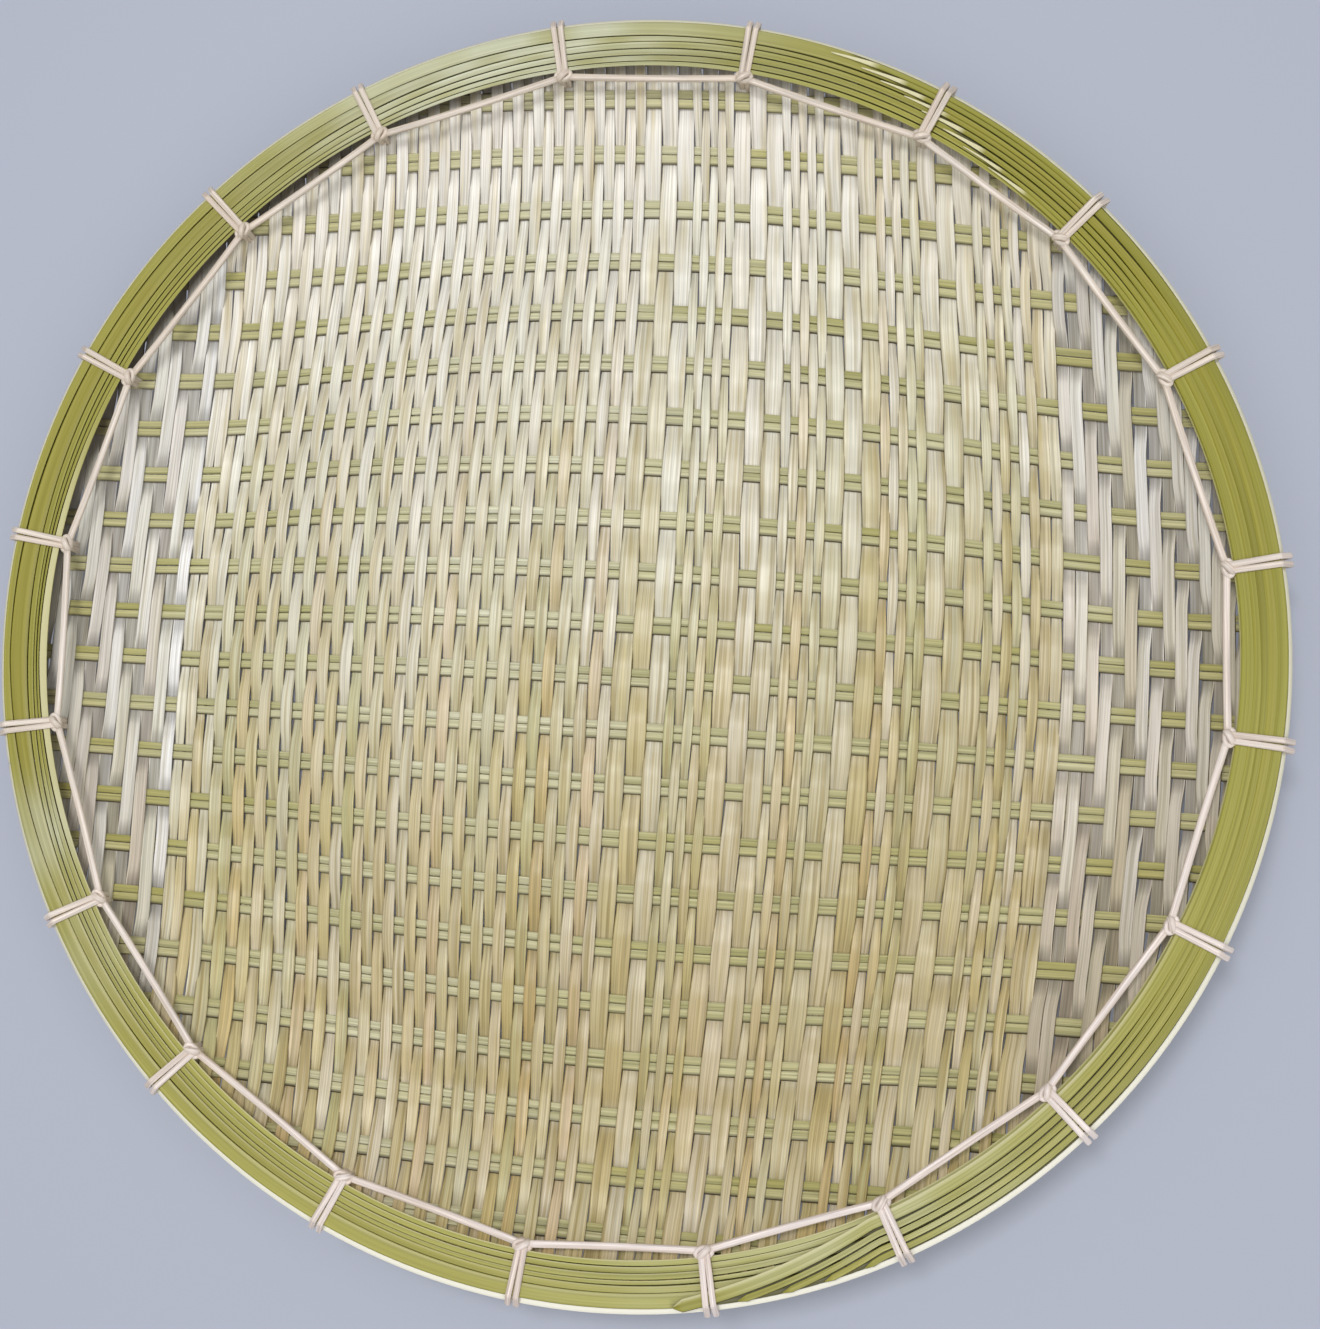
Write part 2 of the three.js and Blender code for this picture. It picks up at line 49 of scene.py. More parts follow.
# the bowl: flat floor, an arc that turns up, a straight wall between the hoops
bowl = {
    "rimRadius": 0.300,
    "wallCurl": 0.113,            # radius of the arc
    "rimSlope": math.radians(50),
    "matInsert": 0.009,           # how far the mat reaches up between the hoops
    "layerOffset": 0.00135,       # from the mat's middle to the middle of a weft
    "matHalf": 0.0018,
    "ribBow": 0.178,              # shares by which the lines of the weave bow out
    "ribSag": 0.034,
    "weftBow": 0.158,
    "hoopWidth": 0.022,
    "hoopThickness": 0.0035,
    "hoopDrop": 0.002,
    "channel": 0.0025,            # from the mat's middle to each hoop
    "shade": 0.95,                # painted shade: how dark the mat is painted where it runs in under the rim
    "shadeFrom": 0.2765,
    "shadeWidth": 0.004,
    "shadeTowards": math.radians(-50),    # the painted shade is darkest on this side, clockwise from +Y
    "shadeLeast": 0.02,           # a weaker shade isn't shown
    "halvings": 30,               # steps in finding where a strip ends
}
sinRim, cosRim = math.sin(bowl["rimSlope"]), math.cos(bowl["rimSlope"])
hoopTop = bowl["hoopWidth"] - bowl["hoopDrop"]
wallStart = bowl["rimRadius"] - hoopTop * cosRim - (bowl["channel"] + bowl["hoopThickness"]) * sinRim
floorRadius = wallStart - bowl["wallCurl"] * sinRim
wallHeight = bowl["matHalf"] + bowl["wallCurl"] * (1 - cosRim)
matRadius = wallStart + bowl["matInsert"] * cosRim


def flatten(along):
    # distance from the axis after so much length of surface: straight, then sin along the arc, then cos
    past = np.maximum(np.abs(along) - floorRadius, 0)
    turn = np.minimum(past / bowl["wallCurl"], bowl["rimSlope"])
    straight = np.maximum(past - bowl["wallCurl"] * bowl["rimSlope"], 0)
    reach = np.minimum(np.abs(along), floorRadius) + bowl["wallCurl"] * np.sin(turn)
    return np.sign(along) * (reach + straight * cosRim)


def slopeAt(radius):
    # the surface's angle: asin of the way past the floor over the arc's radius, up to the wall's angle
    return np.arcsin(np.clip((radius - floorRadius) / bowl["wallCurl"], 0, sinRim))


def heightAt(radius):
    # (1 - cos) of that angle times the arc's radius, then a straight line up the wall
    curled = bowl["matHalf"] + bowl["wallCurl"] * (1 - np.cos(slopeAt(radius)))
    return curled + np.maximum(radius - wallStart, 0) * math.tan(bowl["rimSlope"])


def crossing(across, up):
    # x = u (1 - weftBow v^2), y = v (1 - ribBow u^2) - ribSag u^2, with u and v as shares of the rim's radius
    u, v = flatten(across), flatten(up)
    uShare, vShare = u / bowl["rimRadius"], v / bowl["rimRadius"]
    x = u * (1 - bowl["weftBow"] * vShare ** 2)
    y = v * (1 - bowl["ribBow"] * uShare ** 2) - bowl["ribSag"] * bowl["rimRadius"] * uShare ** 2
    return x, y


def onMat(across, up, lift):
    # the crossing on the bowl's surface, lifted along the surface's normal
    x, y = crossing(across, up)
    radius = np.hypot(x, y)
    slope = slopeAt(radius)
    inward = lift * np.sin(slope) / np.maximum(radius, 1e-9)
    return np.stack([x * (1 - inward), y * (1 - inward), heightAt(radius) + lift * np.cos(slope)], axis=-1)


def reachOf(place, side):
    # halves the interval until the line meets the mat's round edge
    inside, outside = 0.0, bowl["rimRadius"] + bowl["wallCurl"]
    for _ in range(bowl["halvings"]):
        middle = (inside + outside) / 2
        if math.hypot(*place(side * middle)) < matRadius:
            inside = middle
        else:
            outside = middle
    return side * inside


def onWall(up, inward):
    # distance from the axis and height of a place so far up the straight wall and so far in from it
    return wallStart + up * cosRim - inward * sinRim, wallHeight + up * sinRim + inward * cosRim


def turned(r, z, angle):
    # a place of the rim's cross-section, turned clockwise from +Y
    return np.stack([r * np.sin(angle), r * np.cos(angle), z + 0 * angle], axis=-1)


# a flat strip's outline from its right side over the top: shares of half its width and half its thickness
strip = {
    "width": [1, 0.985, 0.93, 0.8, 0.3, -0.3, -0.8, -0.93, -0.985, -1, -1, -0.95, -0.6, 0.6, 0.95, 1],
    "thick": [0.35, 0.75, 0.96, 1, 1, 1, 1, 0.96, 0.75, 0.35, -0.6, -0.95, -1, -1, -0.95, -0.6],
    "cut": [1, 0.7, 0.15, 0, 0, 0, 0, 0.15, 0.7, 1, 1, 0.8, 0.5, 0.5, 0.8, 1],      # how far it is inner wood, and how far the painted shade of the rim's seams reaches on its sides
    "grainShift": 40,             # the most by which a strip's grain is moved on
}


def section(halfWidth, halfThick, camber=0.0):
    # the outline scaled to size, raised by camber (1 - x^2) with x as a share of half the width
    x, z = np.array(strip["width"]), np.array(strip["thick"])
    return x * halfWidth, z * halfThick + camber * (1 - x ** 2)


waves = {"count": 3, "shortest": 0.6, "longest": 1.7, "evener": 1.7}


def wander(places, size, length):
    # the sum of a few sines of random phase and about that wavelength, evened out to about that size
    lengths = length * chance.uniform(waves["shortest"], waves["longest"], waves["count"])
    phases = chance.uniform(0, 2 * np.pi, waves["count"])
    return size * np.sin(2 * np.pi * places[:, None] / lengths + phases).sum(axis=1) / waves["evener"]


def gridFaces(rings, sides, closed):
    # quads between neighbouring rings, and rows of quads across both ends of an open tube
    i = np.arange(rings if closed else rings - 1)[:, None]
    j = np.arange(sides)[None, :]
    near, far = i * sides, ((i + 1) % rings) * sides
    quads = np.stack([near + j, near + (j + 1) % sides, far + (j + 1) % sides, far + j], axis=-1)
    quads = quads.reshape(-1, 4)
    if closed:
        return quads
    k = np.arange(sides // 2 - 1)
    cap = np.stack([k, sides - 1 - k, sides - 2 - k, k + 1], axis=-1)
    return np.concatenate([quads, cap, cap[:, ::-1] + (rings - 1) * sides])


def volumeOf(points, quads):
    # six times the volume: a . (b x c) + a . (c x d) summed over the quads, negative if they point inwards
    a, b, c, d = (points[quads[:, k]] for k in range(4))
    return (np.einsum("ij,ij->i", a, np.cross(b, c)) + np.einsum("ij,ij->i", a, np.cross(c, d))).sum()


def makePiece(name, parts, material, slot, *nodes):
    # each part is a grid of points (rings, sides, 3) with its grain coordinates, its tint and its cut share:
    # above zero it shows cut wood, on the wefts a painted shade on their sides; below zero it shows painted
    # shade
    points, faces, grain, tints, cuts, start = [], [], [], [], [], 0
    for part in parts:
        rings, sides = part["points"].shape[:2]
        own = part["points"].reshape(-1, 3)
        quads = gridFaces(rings, sides, part.get("closed", False))
        if volumeOf(own, quads) < 0:
            quads = quads[:, ::-1]
        points.append(own)
        faces.append(quads + start)
        grain.append(part["grain"].reshape(-1, 2)[quads].reshape(-1, 2))
        tints.append(np.broadcast_to(part["tint"], (rings, sides, 3)).reshape(-1, 3))
        cuts.append(np.broadcast_to(part.get("cut", 0.0), (rings, sides)).ravel())
        start += rings * sides
    mesh = bpy.data.meshes.new(name)
    mesh.from_pydata(np.concatenate(points), [], np.concatenate(faces))
    layer = mesh.uv_layers.new(name="grain")
    layer.data.foreach_set("uv", np.concatenate(grain).astype(np.float32).ravel())
    tint = mesh.attributes.new("tint", "FLOAT_VECTOR", "POINT")
    tint.data.foreach_set("vector", np.concatenate(tints).astype(np.float32).ravel())
    cut = mesh.attributes.new("cut", "FLOAT", "POINT")
    cut.data.foreach_set("value", np.concatenate(cuts).astype(np.float32))
    mesh.shade_smooth()
    mesh.materials.append(material)
    piece = bpy.data.objects.new(name, mesh)
    bpy.context.scene.collection.objects.link(piece)
    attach(piece, "root")
    if nodes:
        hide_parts(*nodes)
    return piece


def grainOf(along, across):
    # grain coordinates: length along the strip and distance across it, moved on for each strip
    shift = chance.uniform(0, strip["grainShift"], 2)
    u, v = np.broadcast_arrays(along[:, None] + shift[0], across[None, :] + shift[1])
    return np.stack([u, v], axis=-1)


# what the strips' materials share
grades = {
    "lower": (-0.03, 0.26),       # distances down the slope between which the lower tone comes in
    "upper": (0.02, -0.26),       # and the upper one, on the bamboo a painted sheen
    "streaked": (-0.2, 0.1),      # and the streaks come to their full share
    "fibre": (0.36, 0.62),        # levels of the noises between which each mark comes in
    "streak": (0.5, 0.64),
    "patch": (0.5, 0.75),
    "noises": {"fibre": (4, 0.0), "streak": (2, 3.7), "patch": (2, 9.1)},       # detail, and how far moved on
    "fibreLight": 0.3,            # how much the fibres lighten, as a share of how much they darken
    "polish": (0.3, 0.7),         # levels of the fibres' noise between which the roughness falls
    "rougher": 0.08,
    "smoother": 0.05,
    "bumpDepth": 0.0003,
}


def node(tree, kind, **settings):
    # a new node of that kind with those settings
    made = tree.nodes.new(kind)
    for key, value in settings.items():
        setattr(made, key, value)
    return made


def mixColours(tree, mode, share, first, second):
    # the first colour brought towards the second by that share; each is an output or a plain value
    mix = node(tree, "ShaderNodeMix", data_type="RGBA", blend_type=mode)
    for socket, value in ((mix.inputs[0], share), (mix.inputs[6], first), (mix.inputs[7], second)):
        if isinstance(value, bpy.types.NodeSocket):
            tree.links.new(value, socket)
        else:
            socket.default_value = value
    return mix.outputs[2]


def mixShaders(tree, share, first, second, output):
    # the first shader brought towards the second by that share, as the surface
    mix = node(tree, "ShaderNodeMixShader")
    for number, value in enumerate((share, first, second)):
        tree.links.new(value, mix.inputs[number])
    tree.links.new(mix.outputs["Shader"], tree.nodes[output].inputs["Surface"])


def times(tree, first, second):
    # the product of two values
    product = node(tree, "ShaderNodeMath", operation="MULTIPLY")
    tree.links.new(first, product.inputs[0])
    tree.links.new(second, product.inputs[1])
    return product.outputs["Value"]


def vectorMath(tree, operation, vector, other=None):
    # one operation on a vector, with another one given by its numbers
    made = node(tree, "ShaderNodeVectorMath", operation=operation)
    tree.links.new(vector, made.inputs[0])
    if other:
        made.inputs[1].default_value = other
    return made.outputs["Vector" if operation == "MULTIPLY" else "Value"]


def stretchedNoise(tree, grain, look, kind):
    # noise on the grain coordinates, scaled by one number along the strip and another across it
    detail, shift = grades["noises"][kind]
    mapping = node(tree, "ShaderNodeMapping")
    mapping.inputs["Scale"].default_value = (look[kind + "Along"], look[kind + "Across"], 1)
    mapping.inputs["Location"].default_value = (shift, shift, shift)
    tree.links.new(grain, mapping.inputs["Vector"])
    noise = node(tree, "ShaderNodeTexNoise")
    noise.inputs["Scale"].default_value = 1
    noise.inputs["Detail"].default_value = detail
    tree.links.new(mapping.outputs["Vector"], noise.inputs["Vector"])
    return noise.outputs["Fac"]


def spread(tree, value, low, high, toLow=0.0, toHigh=1.0):
    # a straight line from toLow where the value is low to toHigh where it is high, level beyond
    ranged = node(tree, "ShaderNodeMapRange")
    for key, number in (("From Min", low), ("From Max", high), ("To Min", toLow), ("To Max", toHigh)):
        ranged.inputs[key].default_value = number
    tree.links.new(value, ranged.inputs["Value"])
    return ranged.outputs["Result"]


def bambooMaterial(name, look):
    # strip tones mixed by the tint attribute, paler up the slope in a painted sheen and browner down it,
    # painted paler on the wall near the rim, fibres along the grain
    material = bpy.data.materials.new(name)
    material.use_nodes = True
    tree = material.node_tree
    shader = tree.nodes["Principled BSDF"]
    grain = node(tree, "ShaderNodeUVMap", uv_map="grain").outputs["UV"]
    tint = node(tree, "ShaderNodeSeparateXYZ")
    tree.links.new(node(tree, "ShaderNodeAttribute", attribute_name="tint").outputs["Vector"], tint.inputs[0])
    cut = node(tree, "ShaderNodeAttribute", attribute_name="cut").outputs["Fac"]
    place = node(tree, "ShaderNodeTexCoord").outputs["Object"]
    downhill = vectorMath(tree, "DOT_PRODUCT", place, look["downhill"])
    radius = vectorMath(tree, "LENGTH", vectorMath(tree, "MULTIPLY", place, (1, 1, 0)))
    edge = look["edgeFrom"], look["edgeTo"]
    fibre, streak, patch = (stretchedNoise(tree, grain, look, kind) for kind in ("fibre", "streak", "patch"))
    # the upper tone: on the bamboo a painted sheen towards the top
    upper = spread(tree, downhill, *grades["upper"], 0, look["upperShare"])
    # the lower tone fades out on the wall, as part of the painted light there
    lower = times(tree, spread(tree, downhill, *grades["lower"], 0, look["lowerShare"]),
                  spread(tree, radius, *edge, 1, look["edgeLower"]))
    streaked = times(tree, spread(tree, streak, *grades["streak"], 0, look["streakShare"]),
                     spread(tree, downhill, *grades["streaked"], look["streakUpper"], 1))
    darkest, lightest = 1 - look["fibreShare"], 1 + look["fibreShare"] * grades["fibreLight"]
    fibres = node(tree, "ShaderNodeCombineColor")
    level = spread(tree, fibre, *grades["fibre"], darkest, lightest)
    for channel in ("Red", "Green", "Blue"):
        tree.links.new(level, fibres.inputs[channel])
    colour = look["pale"]
    for mode, share, tone in (
        ("MIX", tint.outputs["X"], look["green"]),
        ("MIX", tint.outputs["Y"], look["warm"]),
        ("MIX", tint.outputs["Z"], look["tan"]),
        ("MIX", upper, look["upper"]),
        (look["lowerMode"], lower, look["lower"]),
        ("MIX", spread(tree, patch, *grades["patch"], 0, look["stainShare"]), look["stain"]),
        ("MIX", streaked, look["streak"]),
        ("MULTIPLY", 1.0, fibres.outputs["Color"]),
        # painted light on the wall near the rim
        ("MULTIPLY", spread(tree, radius, *edge), look["edge"]),
        ("MIX", spread(tree, cut, 0, 1), look["cut"]),
        # below zero the cut share brings in the painted shade
        ("MIX", spread(tree, cut, 0, -1), look["paintedShade"]),
    ):
        colour = mixColours(tree, mode, share, colour, tone)
    tree.links.new(colour, shader.inputs["Base Color"])
    rough = look["rough"] + grades["rougher"], look["rough"] - grades["smoother"]
    tree.links.new(spread(tree, fibre, *grades["polish"], *rough), shader.inputs["Roughness"])
    shader.inputs["Specular IOR Level"].default_value = look["specular"]
    bump = node(tree, "ShaderNodeBump")
    bump.inputs["Strength"].default_value = look["bump"]
    bump.inputs["Distance"].default_value = grades["bumpDepth"]
    tree.links.new(fibre, bump.inputs["Height"])
    tree.links.new(bump.outputs["Normal"], shader.inputs["Normal"])
    return material


weftLook = {
    "pale": srgb(220, 214, 196), "green": srgb(193, 189, 140), "warm": srgb(206, 191, 142),
    # on the wefts the cut colour is a painted shade on the strips' sides, in the slits between them, and the
    # dark colour a painted shade under the ribs and under the rim
    "tan": srgb(204, 170, 100), "cut": srgb(94, 80, 38), "paintedShade": srgb(58, 47, 24),
    # the upper tone is a painted sheen
    "upper": srgb(242, 240, 233), "upperShare": 0.84,
    "lower": (0.78, 0.67, 0.47, 1), "lowerShare": 1.0, "lowerMode": "MULTIPLY",
    "edgeFrom": 0.224, "edgeTo": 0.264,       # distances from the axis between which the strips are painted paler, a painted light on the wall
    # how much of the lower tone is left on the wall, and the painted light's factor there
    "edgeLower": 0.2, "edge": (1.15, 1.13, 1.15, 1),
    "downhill": (0.35, -0.94, 0),
    "stain": srgb(194, 178, 122), "stainShare": 0.7, "streak": srgb(162, 144, 90), "streakShare": 0.75,
    "streakUpper": 0.4,           # share of the streaks that is left at the upper edge
    "fibreAlong": 14, "fibreAcross": 1200, "fibreShare": 0.24,
    "streakAlong": 8, "streakAcross": 560, "patchAlong": 14, "patchAcross": 160,
    "rough": 0.38, "specular": 0.5, "bump": 0.25,
}
borderLook = dict(
    weftLook, pale=srgb(236, 234, 230), green=srgb(208, 204, 168), warm=srgb(214, 204, 192),
    tan=srgb(186, 164, 118), stain=srgb(198, 190, 164), streak=srgb(168, 158, 130), streakShare=0.5,
    # the upper tone is a painted sheen
    upper=srgb(244, 243, 241), upperShare=0.75, lower=(0.82, 0.73, 0.60, 1), lowerShare=0.9,
    edgeLower=1, edge=(1, 1, 1, 1),
)
ribLook = dict(
    weftLook, pale=srgb(214, 212, 186), green=srgb(160, 155, 78), warm=srgb(194, 186, 128),
    tan=srgb(170, 158, 88), cut=srgb(220, 216, 182), stain=srgb(172, 168, 106), streak=srgb(140, 138, 82),
    upper=srgb(196, 196, 150), upperShare=0.2, lower=srgb(192, 184, 134), lowerShare=0.75, lowerMode="MIX",
    patchAlong=20, patchAcross=60, stainShare=0.5, streakShare=0.5, rough=0.4, specular=0.35,
)
rimLook = dict(
    weftLook, pale=srgb(163, 160, 62), green=srgb(132, 128, 24), warm=srgb(154, 142, 40),
    # here tan is the pale of scuffs and of a painted sheen, and dark is a painted shade in the seams and
    # under the cover strips
    tan=srgb(205, 207, 182), cut=srgb(222, 216, 176), paintedShade=srgb(60, 56, 14),
    stain=srgb(122, 117, 26), streak=srgb(112, 110, 26),
    # on the rim the upper and the lower tone are a painted sheen, at the top and towards the bottom
    upper=srgb(158, 158, 76), upperShare=0.15, lower=srgb(206, 203, 124), lowerShare=0.28, lowerMode="MIX",
    edgeLower=1, edge=(1, 1, 1, 1),
    fibreAlong=7, fibreAcross=1500, streakAlong=2.5, streakAcross=900, streakShare=0.28, fibreShare=0.15,
    patchAlong=5, patchAcross=120, stainShare=0.35, rough=0.46, specular=0.3, bump=0.15,
)
hoopLook = dict(rimLook, cut=srgb(248, 245, 230), pale=srgb(176, 174, 96), rough=0.5)
rattanLook = dict(
    weftLook, pale=srgb(236, 226, 216), green=srgb(230, 218, 206), warm=srgb(216, 198, 180),
    tan=srgb(200, 168, 130), cut=srgb(220, 205, 185), stain=srgb(206, 182, 158), streak=srgb(210, 190, 172),
    upper=srgb(204, 189, 172), upperShare=0.5, lower=srgb(242, 229, 226), lowerShare=0.7, lowerMode="MIX",
    edgeLower=1, edge=(1, 1, 1, 1),
    fibreAlong=30, fibreAcross=1500, streakAlong=12, streakAcross=500, streakShare=0.45,
    patchAlong=18, patchAcross=60, stainShare=0.5, bump=0.2,
)
weftMaterial = bambooMaterial("split bamboo weft", weftLook)
borderMaterial = bambooMaterial("whitish bamboo weft", borderLook)
ribMaterial = bambooMaterial("green bamboo rib", ribLook)
rimMaterial = bambooMaterial("green bamboo rim", rimLook)
hoopMaterial = bambooMaterial("cut bamboo hoop", hoopLook)
rattanMaterial = bambooMaterial("peeled rattan", rattanLook)
print("materials made")

# ribs: each a pair of strips side by side
ribs = {
    "count": 22,
    "pitch": 0.0266,
    "shift": -0.0012,
    "width": 0.0088,
    "thickness": 0.0013,
    "camber": 0.00008,
    "upperShare": 0.46,           # share of the width that the upper strip takes
    "gap": 0.0003,
    "step": 0.004,
    "sideways": (0.00012, 0.12),  # size and wavelength of a strip's wandering across itself
    "upDown": (0.00005, 0.03),    # up and down
    "patchy": (0.12, 0.1),        # and of its green share
    "edgeCut": 0.8,               # how pale the upper edge of each strip is
    "lowerEdgeShade": [0.3, 1.0],       # how dark the painted shadow along the lower edge of the upper and of the lower strip is
    "darkFrom": 0.62,             # share of half the width past which that painted shadow lies
    "tone": (0.5, 0.15),          # mean and spread of the ribs' green share
    "toneApart": 0.15,            # how much greener the upper strip is, and how much paler the lower one
    "warm": [0.1, 0.35],
    "greener": 0.35,              # share of the way to full green that the ends go
    "paleMiddle": -0.075,         # where along them the painted sheen makes the ribs palest, and how far that moves for a way up
    "paleLean": 0.1,
    "paleSpread": 0.075,
    "paleShare": 0.75,
}
ribMiddles = ((ribs["count"] - 1) / 2 - np.arange(ribs["count"])) * ribs["pitch"] + ribs["shift"]


def shadedEdge(points):
    # a share of painted shade that grows from 0 to the full shade over a short way before the rim, times
    # ((1 + cos) / 2)^2 of the angle from the darkest side
    radius = np.hypot(points[..., 0], points[..., 1])
    side = 0.5 + 0.5 * np.cos(np.arctan2(points[..., 0], points[..., 1]) - bowl["shadeTowards"])
    return bowl["shade"] * side ** 2 * np.clip((radius - bowl["shadeFrom"]) / bowl["shadeWidth"], 0, 1)


def ribTint(middle, along, tone, warm):
    # greener towards both ends, paler about a point along them in a painted sheen: 1 - exp(-((x - centre) /
    # spread)^2)
    paintedSheen = np.exp(-((along - ribs["paleMiddle"] - ribs["paleLean"] * middle) / ribs["paleSpread"]) ** 2)
    green = tone + wander(along, *ribs["patchy"]) + (1 - tone) * ribs["greener"] - ribs["paleShare"] * paintedSheen
    return np.stack([np.clip(green, 0, 1), warm + 0 * along, 0 * along], axis=-1)[:, None, :]


def ribPart(middle, low, high, tone, warm, paintedShade):
    # a cambered section carried along the rib's line, between two distances across it
    reaches = [reachOf(lambda across: crossing(across, middle), side) for side in (-1, 1)]
    along = np.linspace(*reaches, int((reaches[1] - reaches[0]) / ribs["step"]))
    x, z = section((high - low) / 2, ribs["thickness"] / 2, camber=ribs["camber"])
    up = middle + (low + high) / 2 + x[None, :] + wander(along, *ribs["sideways"])[:, None]
    lift = z[None, :] + wander(along, *ribs["upDown"])[:, None]
    # a painted shadow along each strip's lower edge
    beyond = (-np.array(strip["width"]) - ribs["darkFrom"]) / (1 - ribs["darkFrom"])
    edge = ribs["edgeCut"] * np.where(x > 0, strip["cut"], 0) - paintedShade * np.sqrt(np.clip(beyond, 0, 1))
    points = onMat(along[:, None], up, lift)
    shade = shadedEdge(points)
    return {"points": points, "grain": grainOf(along, x), "tint": ribTint(middle, along, tone, warm),
            "cut": np.where(shade > bowl["shadeLeast"], -shade, edge)}


for k, middle in enumerate(ribMiddles):
    half = ribs["width"] / 2
    split = half - ribs["upperShare"] * ribs["width"]
    tone = np.clip(ribs["tone"][0] + ribs["tone"][1] * chance.standard_normal(), 0, 1)
    greens = tone + ribs["toneApart"], tone - ribs["toneApart"]
    sides = [(split + ribs["gap"] / 2, half), (-half, split - ribs["gap"] / 2)]
    parts = [ribPart(middle, *sides[n], greens[n], ribs["warm"][n], ribs["lowerEdgeShade"][n]) for n in (0, 1)]
    name = f"rib_{k + 1:02d}"
    makePiece(name + "_split", parts, ribMaterial, "rib_bamboo", name)
print("ribs made")

# wefts: the strips of each band, each woven over and under the ribs by its own rule
wefts = {
    "middle": -0.0051,            # where the even wefts end
    "left": [("border", 4)] * 3 + [("pair", 2)] + [("even", 7)] * 5,
    "right": [("wide", 3), ("narrow", 5)] * 3 + [("wide", 3), ("last", 8)]
             + [("border", 4)] * 3 + [("border", 3)],
    "lastNarrow": 6,              # narrow strips in the last band of the plain field, beside its broad pair
    "widths": {"border": 0.00575, "pair": 0.0096, "even": 0.00584, "wide": 0.0092,
               "narrow": 0.00455, "broad": 0.0106},
    "pairShare": 0.99,            # share of its place that a strip of a pair fills
    "twillLeft": 11,              # how many wefts are woven in twill at each side
    "twillRight": 14,
    "twillFrom": [10, 5],         # how far each twill is moved along the ribs
    "thickness": 0.0009,
    "camber": 0.00010,
    "lean": 0.035,                # mean slope of a strip across its width
    "sideways": (0.0002, 0.09),   # size and wavelength of a strip's wandering across itself
    "rolling": (0.02, 0.06),      # and of its slope's
    "overlap": {"border": 0.0, "plain": 0.0003},      # how much a side grows above a rib
    "lowShade": {"border": 0.46, "plain": 0.08},       # how dark the painted shade on a strip is where it runs below the ribs
    "lowest": 0.00001,
    "flatShare": 0.18,            # share of the pitch, beside a rib's middle, where a weft stays level
    "browned": 0.03,              # length of the browned ends, and how brown they are
    "brownShare": 0.65,
    "step": 0.0024,
    "leastRings": 4,
    "sideShade": [1, 0.5, 0.1, 0, 0, 0, 0, 0.1, 0.5, 1, 1, 0.5, 0, 0, 0.5, 1],      # how far each point of the outline shows the painted shade of the slits
    "tints": {                    # mean, spread and most of the tan, green and warm shares
        "border": [(-0.15, 0.3, 0.5), (0.2, 0.35, 1), (0.35, 0.4, 1)],
        "plain": [(-0.15, 0.28, 0.5), (0.42, 0.42, 1), (0.2, 0.36, 0.9)],
    },
}


def stripsOf(kind, count):
    # widths of the strips in a band, and how many strips lie side by side in each
    if kind == "last":
        return [(wefts["widths"]["narrow"], 1)] * wefts["lastNarrow"] + [(wefts["widths"]["broad"], 2)]
    return [(wefts["widths"][kind], 2 if kind == "pair" else 1)] * count


def sidesOf(index, plainTo):
    # +1 where the weft passes over a rib, -1 where it passes under: over every second rib in the plain field,
    # and in the borders over two of every four, a rib further on for each weft
    k = np.arange(ribs["count"])
    if index < wefts["twillLeft"]:
        over = (index - k + wefts["twillFrom"][0]) % 4 < 2
    elif index <= plainTo:
        over = (index - wefts["twillLeft"] + 1 + k) % 2 == 0
    else:
        over = (index - plainTo - k + wefts["twillFrom"][1]) % 4 < 2
    return np.where(over, 1.0, -1.0)


def layerAt(up, sides):
    # from one rib's side to the next: a straight line, and a second one that is level beside each rib and
    # 3t^2 - 2t^3 between
    lastPlace = ribs["count"] - 1.000001      # just short of the last rib, so that there is always a next one
    place = np.clip((ribMiddles[0] - up) / ribs["pitch"], 0, lastPlace)
    k = place.astype(int)
    t = np.clip((place - k - wefts["flatShare"]) / (1 - 2 * wefts["flatShare"]), 0, 1)
    step = sides[k + 1] - sides[k]
    return sides[k] + step * (place - k), sides[k] + step * (3 - 2 * t) * t * t


def weftTint(group):
    # green, warm and tan shares, drawn for each strip
    tan, green, warm = (np.clip(chance.normal(mean, by), 0, most) for mean, by, most in wefts["tints"][group])
    return np.array([green, warm, tan])


def weftPart(middle, width, group, sides):
    # the section follows the layers, a little wider above the ribs than below them, and leans and wanders
    reaches = [reachOf(lambda up: crossing(middle, up), side) for side in (-1, 1)]
    rings = max(int((reaches[1] - reaches[0]) / wefts["step"]), wefts["leastRings"])
    along = np.linspace(*reaches, rings)
    x, z = section(width / 2, wefts["thickness"] / 2, camber=wefts["camber"])
    straight, layer = layerAt(along, sides)
    wide = x[None, :] * (1 + 2 * wefts["overlap"][group] / width * straight)[:, None]
    across = middle + wide + wander(along, *wefts["sideways"])[:, None]
    roll = (wander(along, *wefts["rolling"]) + wefts["lean"])[:, None] * wide
    lift = bowl["layerOffset"] * layer[:, None] + z[None, :] + roll
    points = onMat(across, along[:, None], lift)
    points[..., 2] = np.maximum(points[..., 2], wefts["lowest"])
    brown = np.clip(1 - (along - reaches[0]) / wefts["browned"], 0, 1) ** 2
    tints = np.zeros((len(along), 1, 3)) + weftTint(group)
    tints[:, 0, 2] = np.clip(tints[:, 0, 2] + wefts["brownShare"] * brown, 0, 1)
    shade = shadedEdge(points) * (1 - brown[:, None])
    # painted shade where the strip runs below the ribs, and on its sides
    low = wefts["lowShade"][group] * np.clip(-layer, 0, 1)[:, None]
    sideShade = np.array(wefts["sideShade"])
    sideAndLowShade = np.where(sideShade > 0, sideShade, -low)
    return {"points": points, "grain": grainOf(along, x), "tint": tints,
            "cut": np.where(shade > bowl["shadeLeast"], -np.maximum(shade, low), sideAndLowShade)}


